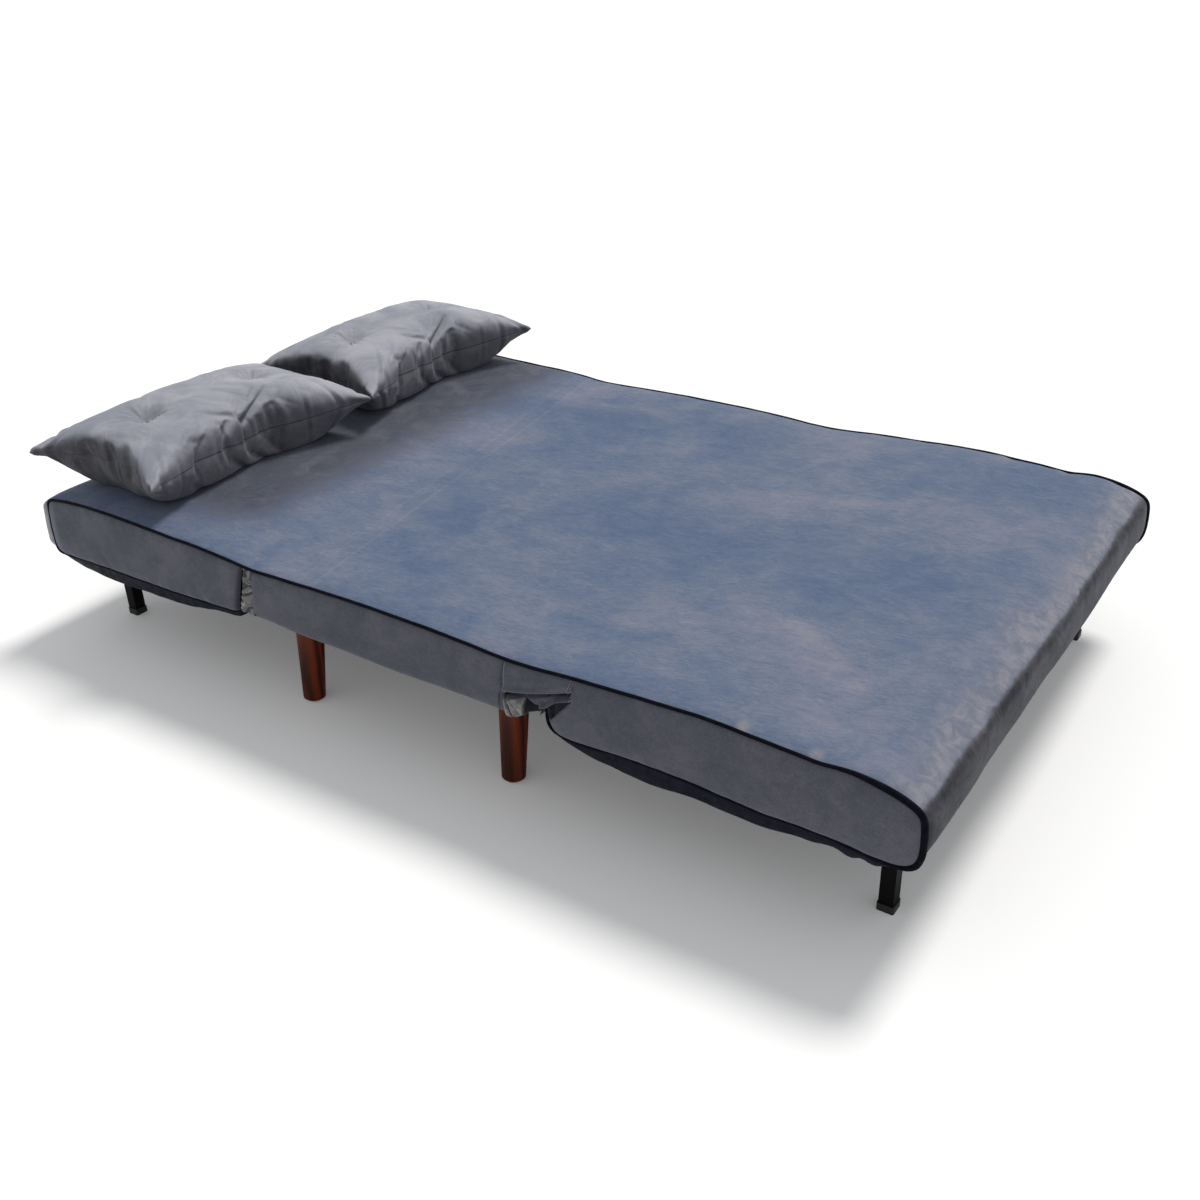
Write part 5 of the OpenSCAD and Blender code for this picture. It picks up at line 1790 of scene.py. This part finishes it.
        # nothing is pushed into the bed
        held = smooth((co[:, 2] - self.floor_z) / 0.020)
        co += normal * (push * (0.15 + 0.85 * held))[:, None]
        self.rest(obj, co)
        paint(obj, "seam", 1.0 - seam / 0.0036)
        # the painted highlight on top and the painted shade on the left side follow the pillow's form more
        # than its folds
        facing = 0.70 * normal + 0.30 * normals(obj)
        paint(obj, "crown", 1.10 * np.clip((facing[:, 2] + 0.05) / 0.95, 0.0, 1.0))
        paint(obj, "shaded", 1.25 * np.clip(-facing[:, 0] / 0.75, 0.0, 1.0))

    def make(self) -> list[bpy.types.Object]:
        """Makes the pillow and its buttons."""
        obj = from_bmesh(f"velvet_pillow_{self.side.name.lower()}", self.flat())
        self.blown(obj)
        self.eased(obj)
        self.fitted(obj)
        finer = obj.modifiers.new("finer", "SUBSURF")
        finer.levels = finer.render_levels = 1
        settled(obj)
        obj.data.polygons.foreach_set("use_smooth", [True] * len(obj.data.polygons))
        self.sculpted(obj)
        PILLOW_VELVET.on(obj)
        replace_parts(obj, self.node)
        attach(obj, self.node)
        return [obj, self.buttons(obj)]

    def buttons(self, pillow: bpy.types.Object) -> bpy.types.Object:
        """Covers a button for each tuft and sets it in its dimple."""
        co, flat = points(pillow), self.cut_places(pillow)
        bm = bmesh.new()
        for k in (-1, 1):
            near = np.hypot(flat[:, 0] - k * self.tuft_reach, flat[:, 1] - self.tuft_back)
            near = np.where(flat[:, 2] > 0, near, 9.0)
            spot = Vector(co[int(np.argmin(near))]) + Vector((0.0, 0.0, 0.0012))
            made = bmesh.ops.create_uvsphere(
                bm, u_segments=28, v_segments=14, radius=self.button, matrix=Matrix.Translation(spot)
            )
            for vert in made["verts"]:
                lift = vert.co.z - spot.z
                vert.co.z = spot.z + lift * (0.40 if lift > 0 else 0.25)
        obj = from_bmesh(f"pillow_buttons_{self.side.name.lower()}", bm)
        PILLOW_VELVET.on(obj)
        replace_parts(obj, f"{self.node}_buttons")
        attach(obj, self.node)
        return obj


# ---------------------------------------------------------------- the bed and its studio


@dataclass
class FrameFinishes:
    """The finish of every part of the frame, by its name in the frame."""

    parts: tuple[tuple[Finish, tuple[str, ...]], ...] = (
        (FOAM, ("seat_foam", "back_foam", "foot_foam")),
        (SLAT_WOOD, ("seat_slats", "back_slats", "foot_slats")),
        (LEG_WOOD, ("leg_rear_left", "leg_rear_right", "leg_front_left", "leg_front_right")),
        (GLIDE_FELT, ("leg_glides",)),
        (BLACK_PLASTIC, ("seat_slat_holders", "back_slat_holders", "foot_slat_holders")),
        (BLACK_PLASTIC, ("head_leg_caps", "foot_leg_caps")),
        (BLACK_STEEL, ("seat_side_rails", "seat_rear_rail", "seat_front_rail", "seat_leg_bar")),
        (BLACK_STEEL, ("back_side_rails", "back_hinge_rail", "back_end_rail")),
        (BLACK_STEEL, ("foot_side_rails", "foot_hinge_rail", "foot_end_rail")),
        (BLACK_STEEL, ("leg_plates", "head_leg_axle", "head_leg_posts", "foot_leg_axle", "foot_leg_posts")),
        (HINGE_STEEL, ("recline_fixed_plates", "recline_moving_plates", "pawl_left", "pawl_right")),
        (HINGE_STEEL, ("fold_seat_lugs", "fold_foot_lugs")),
        (ZINC, ("leg_bolts", "recline_pins", "pawl_pins", "fold_pins", "head_leg_bolts", "foot_leg_bolts")),
        (SIDE_VELVET, ("seat_cover", "back_cover", "foot_cover", "fold_gussets")),
        (GUSSET_VELVET, ("recline_gussets",)),
        (PIPING_CLOTH, ("seat_piping", "back_piping", "foot_piping")),
        (DUST_CLOTH, ("seat_dust_cover",)),
        (BASE_CLOTH, ("back_underside", "foot_underside")),
        (PILLOW_VELVET, ("pillow_left", "pillow_right", "pillow_left_buttons", "pillow_right_buttons")),
    )

    def dress(self) -> None:
        """Puts each finish on its parts."""
        finishes = {name: finish for finish, names in self.parts for name in names}
        for name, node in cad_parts.items():
            if name in finishes:
                finishes[name].on(node)
            else:
                log.warning("no finish for %s", name)


@dataclass
class Studio:
    """A plain pale floor, soft light and the camera."""

    place: tuple[float, float, float] = (-1.96171, -1.40993, 1.3819)
    lens: float = 38.33
    azimuth: float = -0.96169
    elevation: float = 0.50252
    roll: float = -0.03022
    sky: float = 0.50
    sun: float = 2.1

    def camera(self) -> None:
        """Sets up the camera."""
        data = bpy.data.cameras.new("camera")
        data.lens = self.lens
        data.sensor_width = 36.0
        data.clip_end = 200.0
        obj = bpy.data.objects.new("camera", data)
        bpy.context.scene.collection.objects.link(obj)
        a, b, c = self.azimuth, self.elevation, self.roll
        back = Vector((math.sin(a) * math.cos(b), -math.cos(a) * math.cos(b), math.sin(b)))
        right = (-back).cross(Vector((0, 0, 1))).normalized()
        up = right.cross(-back)
        turned = right * math.cos(c) + up * math.sin(c)
        upright = up * math.cos(c) - right * math.sin(c)
        basis = Matrix((turned, upright, back)).transposed()
        obj.matrix_world = Matrix.Translation(self.place) @ basis.to_4x4()
        bpy.context.scene.camera = obj

    def floor(self) -> None:
        """Lays the pale floor."""
        bm = bmesh.new()
        bmesh.ops.create_circle(bm, cap_ends=True, segments=96, radius=60.0)
        obj = from_bmesh("floor", bm)
        material = bpy.data.materials.new("pale_floor")
        material.use_nodes = True
        tree = Tree(material.node_tree)
        tree.tree.nodes.clear()
        seen = tree.add("LightPath").outputs["Is Camera Ray"]
        matt = tree.add("BsdfDiffuse", {"Color": (0.93, 0.93, 0.93, 1.0)})
        glow = tree.add("Emission", {"Color": (1, 1, 1, 1), "Strength": tree.math("MULTIPLY", seen, 0.10)})
        both = tree.add("AddShader", {0: matt.outputs[0], 1: glow.outputs[0]})
        tree.add("OutputMaterial", {"Surface": both.outputs[0]})
        obj.data.materials.append(material)

    def lights(self) -> None:
        """Hangs a broad soft sun and an even white sky."""
        lamp = bpy.data.lights.new("key", "SUN")
        lamp.energy = self.sun
        lamp.angle = math.radians(16.0)
        lamp.color = (1.0, 0.985, 0.96)
        obj = bpy.data.objects.new("key", lamp)
        bpy.context.scene.collection.objects.link(obj)
        towards = Vector((0.62, -0.10, 1.10))
        obj.rotation_mode = "QUATERNION"
        obj.rotation_quaternion = towards.to_track_quat("Z", "Y")
        world = bpy.data.worlds.new("sky")
        world.use_nodes = True
        tree = Tree(world.node_tree)
        tree.tree.nodes.clear()
        path = tree.add("LightPath").outputs
        seen = tree.math("MAXIMUM", path["Is Camera Ray"], path["Is Glossy Ray"])
        seen = tree.math("MAXIMUM", seen, path["Is Transmission Ray"])
        level = tree.add("MapRange", {0: seen, 3: self.sky, 4: 1.0}).outputs[0]
        sky = tree.add("Background", {"Color": (0.97, 0.985, 1.0, 1.0), "Strength": level})
        tree.add("OutputWorld", {"Surface": sky.outputs[0]})
        bpy.context.scene.world = world

    def build(self) -> None:
        """Builds the whole studio."""
        self.camera()
        self.floor()
        self.lights()
        bpy.context.scene.view_settings.view_transform = "Standard"


@dataclass
class Bed:
    """The whole dressed bed."""

    head_sheet: TopSheet = field(
        default_factory=lambda: TopSheet(Panel.HEAD, end_swell=0.027, end_rise=0.0022, end_spread=0.009)
    )
    foot_sheet: TopSheet = field(
        default_factory=lambda: TopSheet(
            Panel.FOOT,
            end_swell=0.0050,
            end_flat=0.95,
            dents=(
                (-0.560, 0.0006, 0.018),
                (-0.703, 0.0022, 0.020),
                (-0.775, 0.0008, 0.018),
                (-0.820, 0.0024, 0.020),
            ),
        )
    )
    puckers: dict[Panel, tuple[tuple[float, float, float], ...]] = field(
        default_factory=lambda: {
            Panel.HEAD: ((0.480, 0.4, 0.0022), (0.620, -0.5, 0.0024), (0.760, 0.4, 0.0020)),
            Panel.FOOT: (
                (-0.560, 0.5, 0.0030),
                (-0.628, -0.4, 0.0034),
                (-0.705, 0.35, 0.0030),
                (-0.790, -0.5, 0.0028),
                (-0.868, 0.3, 0.0020),
            ),
        }
    )

    def covers(self) -> None:
        """Sews the sheets, the sides, the piping and the gussets."""
        sheets = {Panel.HEAD: self.head_sheet.make(), Panel.FOOT: self.foot_sheet.make()}
        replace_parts(sheets[Panel.HEAD], "back_cover", "seat_cover")
        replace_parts(sheets[Panel.FOOT], "foot_cover")
        log.info("top sheets sewn")
        for side in Side:
            for panel in Panel:
                SideBoxing(panel, side, puckers=self.puckers[panel]).make()
                cord = Piping(panel, side).make()
                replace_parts(cord, "back_piping" if panel is Panel.HEAD else "foot_piping", "seat_piping")
            SeatBoxing(side).make()
            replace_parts(RuchedGusset(side).make(), "recline_gussets")
            drooping = DroopingGusset(side)
            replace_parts(drooping.make(), "fold_gussets")
            drooping.stitches()
            log.info("%s side sewn", side.name.lower())
        for wall in (
            HingeWall("hinge_wall_seat_rear", "seat", 0.3290, 1.0),
            HingeWall("hinge_wall_back", "back", 0.3450, -1.0),
            HingeWall("hinge_wall_seat_front", "seat", -0.3290, -1.0, half_width=0.5900),
            HingeWall("hinge_wall_foot", "foot", -0.3450, 1.0, half_width=0.5900),
        ):
            wall.make()
        for panel, node in ((Panel.HEAD, "back_underside"), (Panel.FOOT, "foot_underside")):
            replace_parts(Underside(panel).make()[0], node)
        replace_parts(DustCover().make()[0], "seat_dust_cover")
        log.info("undersides sewn")

    def build(self) -> None:
        """Builds everything in order."""
        self.covers()
        for side in Side:
            Pillow(side).make()
            log.info("%s pillow filled", side.name.lower())
        FrameFinishes().dress()


def main() -> None:
    """Builds the bed and its studio."""
    logging.basicConfig(level=logging.INFO, format="%(message)s")
    KIT.build()
    Studio().build()
    Bed().build()


if __name__ == "__main__":
    main()
